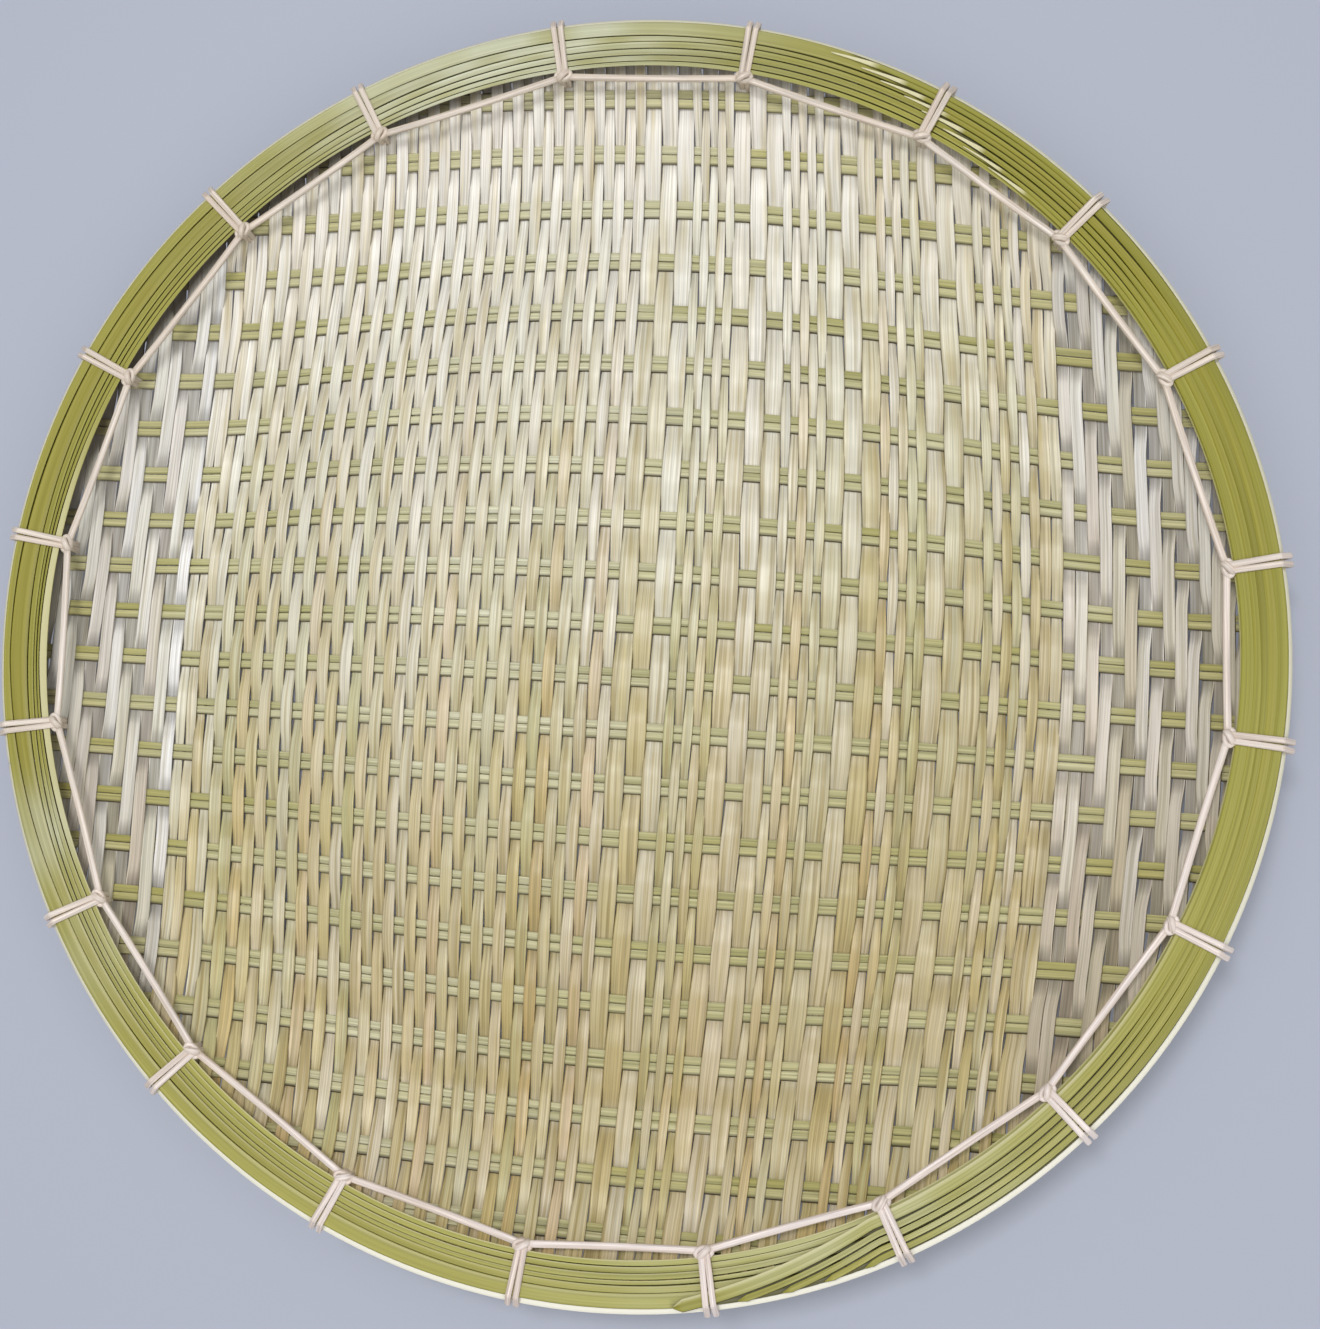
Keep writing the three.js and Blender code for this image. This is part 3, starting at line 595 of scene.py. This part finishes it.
kinds = [kind for kind, _ in wefts["left"] + wefts["right"]]
bands = [stripsOf(*band) for band in wefts["left"] + wefts["right"]]
edge = wefts["middle"] - sum(width for band in bands[:len(wefts["left"])] for width, _ in band)
plainTo = sum(len(band) for band in bands) - 1 - wefts["twillRight"]
index = 0
for number, (band, kind) in enumerate(zip(bands, kinds)):
    group = "border" if kind == "border" else "plain"
    filled = wefts["pairShare"] if kind == "pair" else 1
    parts = []
    for width, many in band:
        own = width / many
        sides = sidesOf(index, plainTo)
        for twin in range(many):
            parts.append(weftPart(edge + own * (twin + 0.5), own * filled, group, sides))
        edge += width
        index += 1
    name = f"weft_band_{number + 1:02d}"
    material = borderMaterial if group == "border" else weftMaterial
    makePiece(name + "_strips", parts, material, "weft_bamboo", name)
print("wefts made:", index)

# rim: outer and inner hoop, deck strips and cover strips; angles in degrees, clockwise from +Y
rim = {
    "clearance": 0.0003,
    "innerWidth": 0.004,
    "innerThickness": 0.002,
    "innerRise": 0.002,
    "innerSplice": 90,
    "innerTint": (0.5, 0.3, 0),
    "hoopSplice": 255,
    "hoopTint": (0.25, 0.2, 0),
    "hoopRings": 420,
    "bevel": 0.0011,              # rise and fall of the outer hoop's slanting edge
    "planed": (165, 62, 4),       # where it slants so: middle, spread and power of a hump
    "hoopEdge": (0.92, 0.03),     # share of half a hoop's width past which it is pale, over what share
    "edgeLeast": 0.65,            # how pale it is where it isn't planed
    "stripThickness": 0.0015,
    "stripCamber": 0.02,          # as a share of the thickness
    "sideways": (0.00008, 0.25),  # size and wavelength of a strip's wandering across itself
    "upDown": (0.00006, 0.2),     # and up and down
    "warmth": (0.2, 0.15),        # mean and spread of the strips' warm share
    "openSeam": 0.0005,           # a gap this wide gets the full painted shade on its sides
    "deckWidths": [0.0064, 0.0021, 0.0023, 0.0021, 0.0019, 0.0020],
    "overhang": 0.0013,           # how far the deck reaches in past its strips' own widths
    "deckStations": [5, 110, 200, 240, 265, 320],     # angles at which the next three lists are given
    "deckShares": [                                   # each strip's share of the deck's width
        [0.32, 0.11, 0.16, 0.15, 0.14, 0.12],
        [0.28, 0.16, 0.14, 0.14, 0.14, 0.14],
        [0.34, 0.16, 0.09, 0.14, 0.14, 0.13],
        [0.32, 0.24, 0.09, 0.11, 0.12, 0.12],
        [0.15, 0.40, 0.14, 0.06, 0.06, 0.19],
        [0.26, 0.30, 0.15, 0.13, 0.10, 0.06],
    ],
    "deckSeams": [0.0004, 0.0004, 0.0002, 0.0002, 0.0004, 0.0003],    # gap between the strips
    "edgeCuts": [0.1, 0.4, 0.55, 0.55, 0.2, 0.1],     # how pale their inner edges are
    "innerCuts": [0.6, 0.7, 0.8, 0.9, 1, 1.2],        # and how much of that each strip has
    "innerEdge": (0.6, 0.2),      # share of half the width past which that edge is pale, over what share
    "seamWander": (0.3, 0.3),     # size, as a share, and wavelength of the gaps' wandering
    "seamMost": 0.35,             # the widest gap, as a share of the strip's width
    "deckTones": [0.4, 0.85, 0.5, 0.6, 0.4, 0.3],     # how green each strip is
    "deckSplices": [258.3, 61.4, 150.8, 222.2, 27.9, 294.9],      # under ties
    "deckRings": 460,
    "bareInner": (266, 20, 4),    # where the innermost deck strip is cut wood, all but its edges: a hump
    "bareShare": 0.65,
    "bareWidth": 0.95,
    "coveredShade": 0.85,          # how dark the painted shade on the deck is under the cover strips, and how soon
    "coveredFrom": 0.0005,
    "coveredOver": 0.001,
    "coverWidths": [0.0046, 0.0042, 0.0023, 0.0024, 0.0032],      # where the first strip starts
    "coverEndWidths": [0.0026, 0.0027, 0.0028, 0.0030, 0.0056],   # where they begin to run outwards
    "coverTones": [0.72, 0.68, 0.74, 0.66, 0.4],
    "coverStarts": [(16.8, 19.9), (22.0, 24.6), (26.7,), (29.3,), (31.8, 34.9)],  # two: it starts as halves
    "coverJoins": [44.7, 44.7, 0, 0, 61.4],       # under a tie, where the halves become one
    "coverInset": 0.0002,
    "coverFrom": 17.5,            # where the widths begin to change
    "driftFrom": 152.4,           # and between which angles the strips run outwards
    "driftTo": 170.8,
    "seamStations": [16, 50, 62, 110, 125, 172],      # angles at which the gaps between them are given
    "coverSeams": [0.0004, 0.0004, -0.0004, -0.0004, 0.0004, 0.0007],
    "coverWander": (0.4, 0.1),    # size, as a share, and wavelength of these gaps' wandering, and its range
    "wanderRange": (0.3, 1.8),
    "scarf": 0.024,               # length of the slanting cut at a strip's start
    "scarfWidth": 0.25,           # shares of its width and thickness there
    "scarfThick": 0.2,
    "scarfSide": 0.8,             # how far its tip lies towards the strip's inner side
    "scarfPale": 0.9,             # how pale the cut is, and how soon it is so
    "scarfFade": 6,
    "tipLeast": 0.03,             # square of the share of the width that is left at the rounded end
    "greenTip": 0.03,             # length of the greener part there
    "greenMost": 1.2,
    "paleEdge": (0.72, 0.1),      # share of half the innermost width past which it is pale, over what share
    "paleEdgeFrom": (108, 20),    # from what angle on, over how many degrees, and how pale
    "paleEdgeShare": 0.8,
    "scuffsAndSheen": [(345, 21, 1.3), (248, 4, 0.7), (236, 6, 0.3), (155, 20, 0.55)],    # middle, spread, height of pale patches; the one at the top is a painted sheen
    "scuffWander": (0.2, 0.05),
    "scuffMean": 0.75,
    "step": 0.004,
    "leastRings": 60,
}
innerTop = rim["innerWidth"] + rim["innerRise"]
innerFace = bowl["channel"] + rim["innerThickness"]
deckOuter = onWall(hoopTop, -bowl["channel"])
deckRest = onWall(innerTop, innerFace)
deckSlope = math.atan2(deckOuter[1] - deckRest[1], deckOuter[0] - deckRest[0])
deckWidth = sum(rim["deckWidths"]) + rim["clearance"] * (len(rim["deckWidths"]) - 1) + rim["overhang"]
coverFrom, driftFrom, driftTo = (math.radians(rim[key]) for key in ("coverFrom", "driftFrom", "driftTo"))
coverLow = 2 * rim["clearance"] + rim["stripThickness"]


def onDeck(inward, above):
    # distance from the axis and height of a place so far in over the sloping deck and so far above it
    r = deckOuter[0] - inward * math.cos(deckSlope) - above * math.sin(deckSlope)
    return r, deckOuter[1] - inward * math.sin(deckSlope) + above * math.cos(deckSlope)


def ramp(value, start, over):
    # a share that grows from 0 at the start to 1 as much further on
    return np.clip((value - start) / over, 0, 1)


def hump(degrees, middle, width, power=2):
    # exp(-(d / width)^power), d being the way round from the middle
    return np.exp(-(((degrees - middle + 180) % 360 - 180) / width) ** power)


def hoopPart(middleUp, middleIn, halfWidth, halfThick, splice, tint, bevel=0.0):
    # a section standing along the wall, turned about the axis from the splice round to it again;
    # its upper edge slants up away from the bowl where the hoop is planed so
    gap = rim["clearance"] / bowl["rimRadius"]
    start = math.radians(splice)
    angle = np.linspace(start + gap, start + 2 * np.pi - gap, rim["hoopRings"])
    x, z = section(halfWidth, halfThick)
    planed = hump(np.degrees(angle)[:, None], *rim["planed"])
    r, height = onWall(middleUp + x - bevel * planed * z / halfThick * (x > 0), middleIn + z)
    cut = ramp(np.abs(x) / halfWidth, *rim["hoopEdge"]) * (rim["edgeLeast"] + (1 - rim["edgeLeast"]) * planed)
    return {"points": turned(r, height, angle[:, None]), "grain": grainOf(angle * bowl["rimRadius"], x),
            "tint": tint, "cut": cut}


outer = hoopPart(bowl["hoopWidth"] / 2 - bowl["hoopDrop"], -bowl["channel"] - bowl["hoopThickness"] / 2,
                 bowl["hoopWidth"] / 2, bowl["hoopThickness"] / 2,
                 rim["hoopSplice"], rim["hoopTint"], rim["bevel"])
inner = hoopPart(rim["innerWidth"] / 2 + rim["innerRise"], bowl["channel"] + rim["innerThickness"] / 2,
                 rim["innerWidth"] / 2, rim["innerThickness"] / 2, rim["innerSplice"], rim["innerTint"])
makePiece("outer_hoop_bent", [outer], hoopMaterial, "hoop_bamboo", "outer_hoop")
# the inner hoop, hidden under the deck, is painted all over with that shade
inner["cut"] = -rim["coveredShade"]
makePiece("inner_hoop_bent", [inner], rimMaterial, "rim_bamboo", "inner_hoop")


def deckPart(middle, width, thick, low, angle, tint, seam, cut):
    # a strip lying on the deck from a height up: what is given for it follows the angle
    x, z = section(0.5, 0.5, camber=rim["stripCamber"])
    along = angle * bowl["rimRadius"]
    across = (middle + wander(along, *rim["sideways"]))[:, None] + x[None, :] * width[:, None]
    lift = low + (0.5 + z[None, :]) * thick[:, None] + wander(along, *rim["upDown"])[:, None]
    r, height = onDeck(across, lift)
    # painted shade on the strip's sides, fuller as the seam opens
    seamShade = ramp(seam, 0, rim["openSeam"])[:, None] * np.array(strip["cut"])
    shown = np.where(cut > 0, cut, np.minimum(cut, -seamShade))
    return {"points": turned(r, height, angle[:, None]), "grain": grainOf(along, x * width.mean()),
            "tint": tint, "cut": shown}


def warmShare():
    # mean + spread times the second of two draws, for each strip
    mean, by = rim["warmth"]
    return np.clip(mean + by * chance.standard_normal(2)[1], 0, 1)


def scuffAndSheen(angle):
    # a tint's share of pale scuffs and painted sheen along the rim: the sum of the humps, times a wandering
    # share
    share = sum(height * hump(np.degrees(angle), middle, width) for middle, width, height in rim["scuffsAndSheen"])
    return share * np.clip(rim["scuffMean"] + wander(angle * bowl["rimRadius"], *rim["scuffWander"]), 0, 1)


def atStations(angle, values):
    # straight lines between the values at the deck's stations, all the way round
    return np.interp(np.degrees(angle) % 360, rim["deckStations"], values, period=360)


def deckEdges(angle):
    # shares of the deck's width to each strip's outer edge: the sum of the strips' shares up to there
    strips = [atStations(angle, column) for column in np.array(rim["deckShares"]).T]
    return np.concatenate([[0 * angle], np.cumsum(strips, axis=0)])


def coverAt(k, angle):
    # widths go from the first to the last as a straight line; a strip's middle lies past the ones outside it
    share = ramp(angle, coverFrom, driftFrom - coverFrom)
    ends = zip(rim["coverWidths"], rim["coverEndWidths"])
    widths = [first + (last - first) * share for first, last in ends]
    return rim["coverInset"] + sum(widths[:k]) + k * rim["clearance"] + widths[k] / 2, widths[k]


innermost = len(rim["coverWidths"]) - 1
driftRate = coverAt(innermost, driftFrom)[0] / (driftTo - driftFrom)


def coverReach(angle):
    # how far in the cover strips reach: it grows as they start one by one, and shrinks as they run outwards
    angle = angle % (2 * np.pi)
    last = math.radians(rim["coverStarts"][-1][-1])
    middle, width = coverAt(innermost, angle)
    reach = (middle + width / 2) * ramp(angle, coverFrom, last - coverFrom)
    return np.where(angle < driftTo, reach - np.maximum(angle - driftFrom, 0) * driftRate, 0)


for k in range(len(rim["deckWidths"])):
    gap = rim["clearance"] / bowl["rimRadius"]
    start = math.radians(rim["deckSplices"][k]) + gap
    angle = np.linspace(start, start + 2 * np.pi - 2 * gap, rim["deckRings"])
    edges = deckEdges(angle) * (deckWidth + rim["clearance"])
    seam = atStations(angle, rim["deckSeams"])
    seam = seam * np.clip(1 + wander(angle * bowl["rimRadius"], *rim["seamWander"]), 0, None)
    seam = np.minimum(seam, rim["seamMost"] * (edges[k + 1] - edges[k]))
    middle, width = (edges[k] + edges[k + 1] - seam) / 2, edges[k + 1] - edges[k] - seam
    share = np.array(strip["width"])[None, :]
    # painted shade where the deck lies under the cover strips
    under = coverReach(angle)[:, None] - middle[:, None] - share * width[:, None] / 2
    covered = -rim["coveredShade"] * ramp(under, rim["coveredFrom"], rim["coveredOver"])
    edgeCut = atStations(angle, rim["edgeCuts"])[:, None]
    pale = edgeCut * rim["innerCuts"][k] * ramp(share, *rim["innerEdge"])
    tint = np.zeros((len(angle), 1, 3)) + np.array([rim["deckTones"][k], warmShare(), 0])
    tint[:, 0, 2] = scuffAndSheen(angle)
    if k == len(rim["deckWidths"]) - 1:
        bare = rim["bareShare"] * hump(np.degrees(angle), *rim["bareInner"])
        pale = np.maximum(pale, bare[:, None] * (np.abs(share) < rim["bareWidth"]))
    thick = rim["stripThickness"] + 0 * angle
    cut = np.where(covered < 0, covered, pale)
    part = deckPart(middle, width, thick, rim["clearance"], angle, tint, seam, cut)
    name = f"deck_strip_{k + 1}"
    makePiece(name + "_bent", [part], rimMaterial, "rim_bamboo", name)


def coverPart(k, start, end, low, high, tint, tapers, rounds):
    # part of a cover strip's width, from its low to its high share, with a scarfed start and a rounded end
    rings = max(int((end - start) * bowl["rimRadius"] / rim["step"]), rim["leastRings"])
    angle = np.linspace(start, end, rings)
    middle, whole = coverAt(k, angle)
    seam = np.interp(np.degrees(angle), rim["seamStations"], rim["coverSeams"])
    seam = seam * np.clip(1 + wander(angle * bowl["rimRadius"], *rim["coverWander"]), *rim["wanderRange"])
    width = (whole + rim["clearance"] - seam) * (high - low)
    middle = middle + whole * ((low + high) / 2 - 0.5) - np.maximum(angle - driftFrom, 0) * driftRate
    toEnd = (end - angle) * bowl["rimRadius"]
    begun = ramp((angle - start) * bowl["rimRadius"], 0, rim["scarf"]) if tapers else np.ones(len(angle))
    tip = 1.0
    if rounds:
        tip = np.sqrt(np.clip(1 - np.clip(1 - toEnd / (width / 2), 0, 1) ** 2, rim["tipLeast"], 1))
    scarfed = width * (rim["scarfWidth"] + (1 - rim["scarfWidth"]) * begun)
    middle = middle + (width - scarfed) / 2 * rim["scarfSide"]
    thick = rim["stripThickness"] * (rim["scarfThick"] + (1 - rim["scarfThick"]) * begun)
    share = np.array(strip["width"])
    pale = rim["scarfPale"] * np.clip((1 - begun) * rim["scarfFade"], 0, 1)[:, None] + 0 * share
    if k == innermost:
        innerEdge = ramp(share, *rim["paleEdge"])[None, :]
        begunPale = ramp(np.degrees(angle)[:, None], *rim["paleEdgeFrom"])
        pale = pale + rim["paleEdgeShare"] * innerEdge * begunPale
    tints = np.zeros((len(angle), 1, 3)) + np.asarray(tint)
    tints[:, 0, 2] = scuffAndSheen(angle)
    if rounds:
        tints[:, 0, 2] *= ramp(toEnd, rim["greenTip"] / 2, rim["greenTip"])
        green = tints[:, 0, 0] + np.clip(1 - toEnd / rim["greenTip"], 0, 1)
        tints[:, 0, 0] = np.clip(green, 0, rim["greenMost"])
    return deckPart(middle, scarfed * tip, thick, coverLow, angle, tints, seam, pale)


for k, starts in enumerate(rim["coverStarts"]):
    tint = (rim["coverTones"][k], warmShare(), 0)
    end = driftFrom + coverAt(k, driftFrom)[0] / driftRate
    begin = math.radians(starts[0])
    parts = []
    if len(starts) > 1:
        join = math.radians(rim["coverJoins"][k])
        for n, start in enumerate(starts):
            parts.append(coverPart(k, math.radians(start), join, n / 2, (n + 1) / 2, tint, True, False))
        begin = join + rim["clearance"] / bowl["rimRadius"]
    parts.append(coverPart(k, begin, end, 0, 1, tint, len(starts) == 1, True))
    name = f"cover_strip_{k + 1}"
    makePiece(name + "_bent", parts, rimMaterial, "rim_bamboo", name)
print("rim made")

# lashing: two turns round the rim at each tie, a knot at its inner edge, and a straight run on to the next
lashing = {
    "ties": [9.2, 27.9, 44.7, 61.4, 80.2, 95.8, 113.7, 132.6, 150.8, 167.7,
             184.7, 203, 222.2, 240, 258.3, 276.6, 294.9, 314.1, 331.3, 351],
    "halfWidth": 0.00142,
    "halfThick": 0.00078,
    "clearance": 0.0001,
    "sides": 14,
    "fullness": 0.8,              # power of the oval's cos and sin
    "cornerSteps": 6,
    "apart": [0.95, 1.2, 1.35, 1.35, 1.0],    # half widths from a tie's axis to each turn, corner by corner
    "inset": 0.0001,              # how far the knots lie in from the deck's edge
    "insetMore": 0.0013,          # and how much further on one side: height, middle and spread of a hump
    "insetMiddle": 268,
    "insetSpread": 50,
    "knotHalf": (0.0015, 0.0012),
    "knotPlace": (-0.0002, -0.0012),          # outwards and up from a turn's first corner
    "knotRings": [                # middle and two half axes of each ring: along the rim, outwards, up
        [(0, 0, 0), (0.0036, 0, 0.0004), (0, 0.0019, 0.0003)],
        [(0, 0, 0.0003), (0.0024, 0.0018, 0), (0, -0.0004, 0.0021)],
    ],
    "knotTurn": 0.8,
    "knotSteps": 32,
    "runHalf": (0.00165, 0.0013),
    "runFrom": (0.0022, -0.0010),             # along the rim and outwards from a knot's middle
    "runSag": 0.0010,
    "runRings": 26,
}
strandOff = lashing["halfThick"] + lashing["clearance"]
deckInner = onDeck(deckWidth, rim["clearance"])
innerFoot = onWall(rim["innerRise"], innerFace)
strandInner = min(deckInner[0], innerFoot[0]) - strandOff


def rounded(points, radius, steps):
    # each corner of a closed path becomes an arc: centre + radius (-e cos + s sin) for the angle turned
    before = points - np.roll(points, 1, axis=0)
    before /= np.linalg.norm(before, axis=1, keepdims=True)
    after = np.roll(before, -1, axis=0)
    turn = np.arccos(np.clip((before * after).sum(axis=1), -1, 1))[:, None, None]
    e = after - before
    e /= np.linalg.norm(e, axis=1, keepdims=True)
    s = before + after
    s /= np.linalg.norm(s, axis=1, keepdims=True)
    swing = np.linspace(-0.5, 0.5, steps)[None, :, None] * turn
    centre = points[:, None, :] + e[:, None, :] * radius / np.cos(turn / 2)
    arcs = centre + radius * (-e[:, None, :] * np.cos(swing) + s[:, None, :] * np.sin(swing))
    return arcs.reshape(-1, 3)


def tubePart(path, beside, half, tint, closed):
    # an oval carried along the path: P + thick cos N + wide sin B, with B nearest to the given side direction
    if closed:
        heading = np.roll(path, -1, axis=0) - np.roll(path, 1, axis=0)
    else:
        heading = np.gradient(path, axis=0)
    heading /= np.linalg.norm(heading, axis=1, keepdims=True)
    normal = np.cross(beside, heading)
    normal /= np.linalg.norm(normal, axis=1, keepdims=True)
    binormal = np.cross(heading, normal)
    turn = 2 * np.pi * np.arange(lashing["sides"]) / lashing["sides"]
    cos, sin = np.cos(turn), np.sin(turn)
    wide, thick = half
    toNormal = thick * np.sign(cos) * np.abs(cos) ** lashing["fullness"]
    toSide = wide * np.sign(sin) * np.abs(sin) ** lashing["fullness"]
    offset = toNormal[None, :, None] * normal[:, None, :] + toSide[None, :, None] * binormal[:, None, :]
    along = np.concatenate([[0], np.cumsum(np.linalg.norm(np.diff(path, axis=0), axis=1))])
    return {"points": path[:, None, :] + offset, "grain": grainOf(along, sin * wide),
            "tint": tint, "closed": closed}


def wrapPlaces(top, inset):
    # corners of a turn's middle line in the rim's cross-section, over a deck of that height
    above = top + strandOff
    tilt = bowl["rimSlope"] - deckSlope
    edgeUp = hoopTop + top * math.sin(tilt) + strandOff
    outside = -bowl["channel"] - bowl["hoopThickness"] - strandOff
    onEdge, away = onWall(edgeUp, 0), onDeck(0, above)
    out = ((away[0] - onEdge[0]) * cosRim + (away[1] - onEdge[1]) * sinRim) / math.cos(tilt)
    foot = strandInner - inset - strandOff - lashing["clearance"]
    underside = float(heightAt(foot) - bowl["matHalf"] / np.cos(slopeAt(foot))) - strandOff
    return np.array([
        onDeck(deckWidth + strandOff + inset, above), onDeck(out, above), onWall(edgeUp, outside),
        onWall(-bowl["hoopDrop"] - strandOff, outside), (strandInner - inset, underside),
    ])


def rattanTint():
    # green and warm shares, drawn for each tie and each run
    return (chance.uniform(0.1, 0.5), chance.uniform(0, 0.35), 0)


def ringAt(centre, first, second):
    # centre + cos first + sin second
    turn = 2 * np.pi * np.arange(lashing["knotSteps"]) / lashing["knotSteps"]
    return centre + np.cos(turn)[:, None] * first + np.sin(turn)[:, None] * second


upwards = np.array([0, 0, 1.0])
coverTop = 2 * (rim["clearance"] + rim["stripThickness"])
parts, knots, leaves = [], [], []
for degrees in lashing["ties"]:
    angle = math.radians(degrees)
    covered = coverFrom < angle < driftTo
    fromMiddle = (degrees - lashing["insetMiddle"]) / lashing["insetSpread"]
    inset = lashing["inset"] + lashing["insetMore"] * math.exp(-fromMiddle ** 2)
    places = wrapPlaces(coverTop if covered else coverTop / 2, inset)
    outward = np.array([math.sin(angle), math.cos(angle), 0.0])
    beside = np.array([math.cos(angle), -math.sin(angle), 0.0])
    tint = rattanTint()
    for side in (-1, 1):
        aside = side * np.array(lashing["apart"]) * lashing["halfWidth"]
        corners = places[:, :1] * outward + aside[:, None] * beside + places[:, 1:] * upwards
        path = rounded(corners, strandOff, lashing["cornerSteps"])
        parts.append(tubePart(path, beside, (lashing["halfWidth"], lashing["halfThick"]), tint, True))
    knee = places[0] + lashing["knotPlace"]
    centre = knee[0] * outward + knee[1] * upwards
    facings = upwards, np.cross(beside + lashing["knotTurn"] * outward, upwards)
    for ring, facing in zip(lashing["knotRings"], facings):
        middle, first, second = np.array(ring) @ np.stack([beside, outward, upwards])
        path = ringAt(centre + middle, first, second)
        knots.append(tubePart(path, facing, lashing["knotHalf"], tint, True))
    leaves.append((centre, beside, outward))

forth, out = lashing["runFrom"]
for k, (centre, beside, outward) in enumerate(leaves):
    nextCentre, nextBeside, nextOutward = leaves[(k + 1) % len(leaves)]
    start = centre + forth * beside + out * outward
    stop = nextCentre - forth * nextBeside + out * nextOutward
    t = np.linspace(0, 1, lashing["runRings"])[:, None]
    path = start + (stop - start) * t
    path[:, 2] -= lashing["runSag"] * (4 * t * (1 - t))[:, 0]
    parts.append(tubePart(path, outward, lashing["runHalf"], rattanTint(), False))
makePiece("rattan_lashing_strand", parts, rattanMaterial, "rattan", "rattan_lashing")
makePiece("rattan_lashing_knots", knots, rattanMaterial, "rattan")
print("lashing made")

# floor, lights and camera
stageLook = {
    "colour": srgb(180, 185, 201),
    "floorSize": 60.0,
    "floorRough": 0.8,
    "far": (0.5, 1.6),            # between these distances the camera sees the floor turn to its plain colour
    "roomLight": 0.38,
}
bpy.ops.mesh.primitive_plane_add(size=stageLook["floorSize"])
floor = bpy.context.object
floor.name = "floor"
floorMaterial = bpy.data.materials.new("pale floor")
floorMaterial.use_nodes = True
tree = floorMaterial.node_tree
lit = tree.nodes["Principled BSDF"]
lit.inputs["Base Color"].default_value = stageLook["colour"]
lit.inputs["Roughness"].default_value = stageLook["floorRough"]
plain = node(tree, "ShaderNodeEmission")
plain.inputs["Color"].default_value = stageLook["colour"]
distance = vectorMath(tree, "LENGTH", node(tree, "ShaderNodeTexCoord").outputs["Object"])
seen = node(tree, "ShaderNodeLightPath").outputs["Is Camera Ray"]
far = times(tree, spread(tree, distance, *stageLook["far"]), seen)
mixShaders(tree, far, lit.outputs["BSDF"], plain.outputs["Emission"], "Material Output")
floor.data.materials.append(floorMaterial)

lights = [
    {"name": "window", "place": (-0.16, 0.28, 1.45), "size": 0.24, "power": 7.8},
    {"name": "sky", "place": (0.2, -0.35, 1.5), "size": 2.2, "power": 13.5},
]
for light in lights:
    data = bpy.data.lights.new(light["name"], "AREA")
    data.energy = light["power"]
    data.size = light["size"]
    lamp = bpy.data.objects.new(light["name"], data)
    lamp.location = light["place"]
    lamp.rotation_euler = (-Vector(light["place"])).to_track_quat("-Z", "Y").to_euler()
    bpy.context.scene.collection.objects.link(lamp)
world = bpy.data.worlds.new("room")
world.use_nodes = True
tree = world.node_tree
room = tree.nodes["Background"]
room.inputs["Color"].default_value = (1, 1, 1, 1)
room.inputs["Strength"].default_value = stageLook["roomLight"]
backdrop = node(tree, "ShaderNodeBackground")
backdrop.inputs["Color"].default_value = stageLook["colour"]
seen = node(tree, "ShaderNodeLightPath").outputs["Is Camera Ray"]
mixShaders(tree, seen, room.outputs["Background"], backdrop.outputs["Background"], "World Output")
bpy.context.scene.world = world

# the camera stands above the open side, a little to the right and below, and is turned slightly
camera = {
    "target": (0, 0, 0.062),
    "distance": 0.650,
    "toRight": math.radians(7.2),
    "toTop": math.radians(-5.08),
    "roll": math.radians(3.9),
    "focal": 1422,                # pixels of an image 1320 wide
    "offset": (-49.7, -28.0),     # principal point from the image's middle, pixels, y down
    "imageWidth": 1320,
}
away = Vector((math.sin(camera["toRight"]) * math.cos(camera["toTop"]), math.sin(camera["toTop"]),
               math.cos(camera["toRight"]) * math.cos(camera["toTop"])))
right = Vector((0, 1, 0)).cross(away).normalized()
upward = away.cross(right)
turnedRight = math.cos(camera["roll"]) * right + math.sin(camera["roll"]) * upward
turnedUp = -math.sin(camera["roll"]) * right + math.cos(camera["roll"]) * upward
lens = bpy.data.cameras.new("camera")
lens.sensor_fit = "HORIZONTAL"
lens.sensor_width = 36
lens.lens = camera["focal"] * lens.sensor_width / camera["imageWidth"]
lens.shift_x = -camera["offset"][0] / camera["imageWidth"]
lens.shift_y = camera["offset"][1] / camera["imageWidth"]
cameraObject = bpy.data.objects.new("camera", lens)
place = Vector(camera["target"]) + away * camera["distance"]
cameraObject.matrix_world = Matrix((
    (turnedRight.x, turnedUp.x, away.x, place.x),
    (turnedRight.y, turnedUp.y, away.y, place.y),
    (turnedRight.z, turnedUp.z, away.z, place.z),
    (0, 0, 0, 1),
))
bpy.context.scene.collection.objects.link(cameraObject)
bpy.context.scene.camera = cameraObject
bpy.context.scene.view_settings.view_transform = "Standard"

print("scene made")
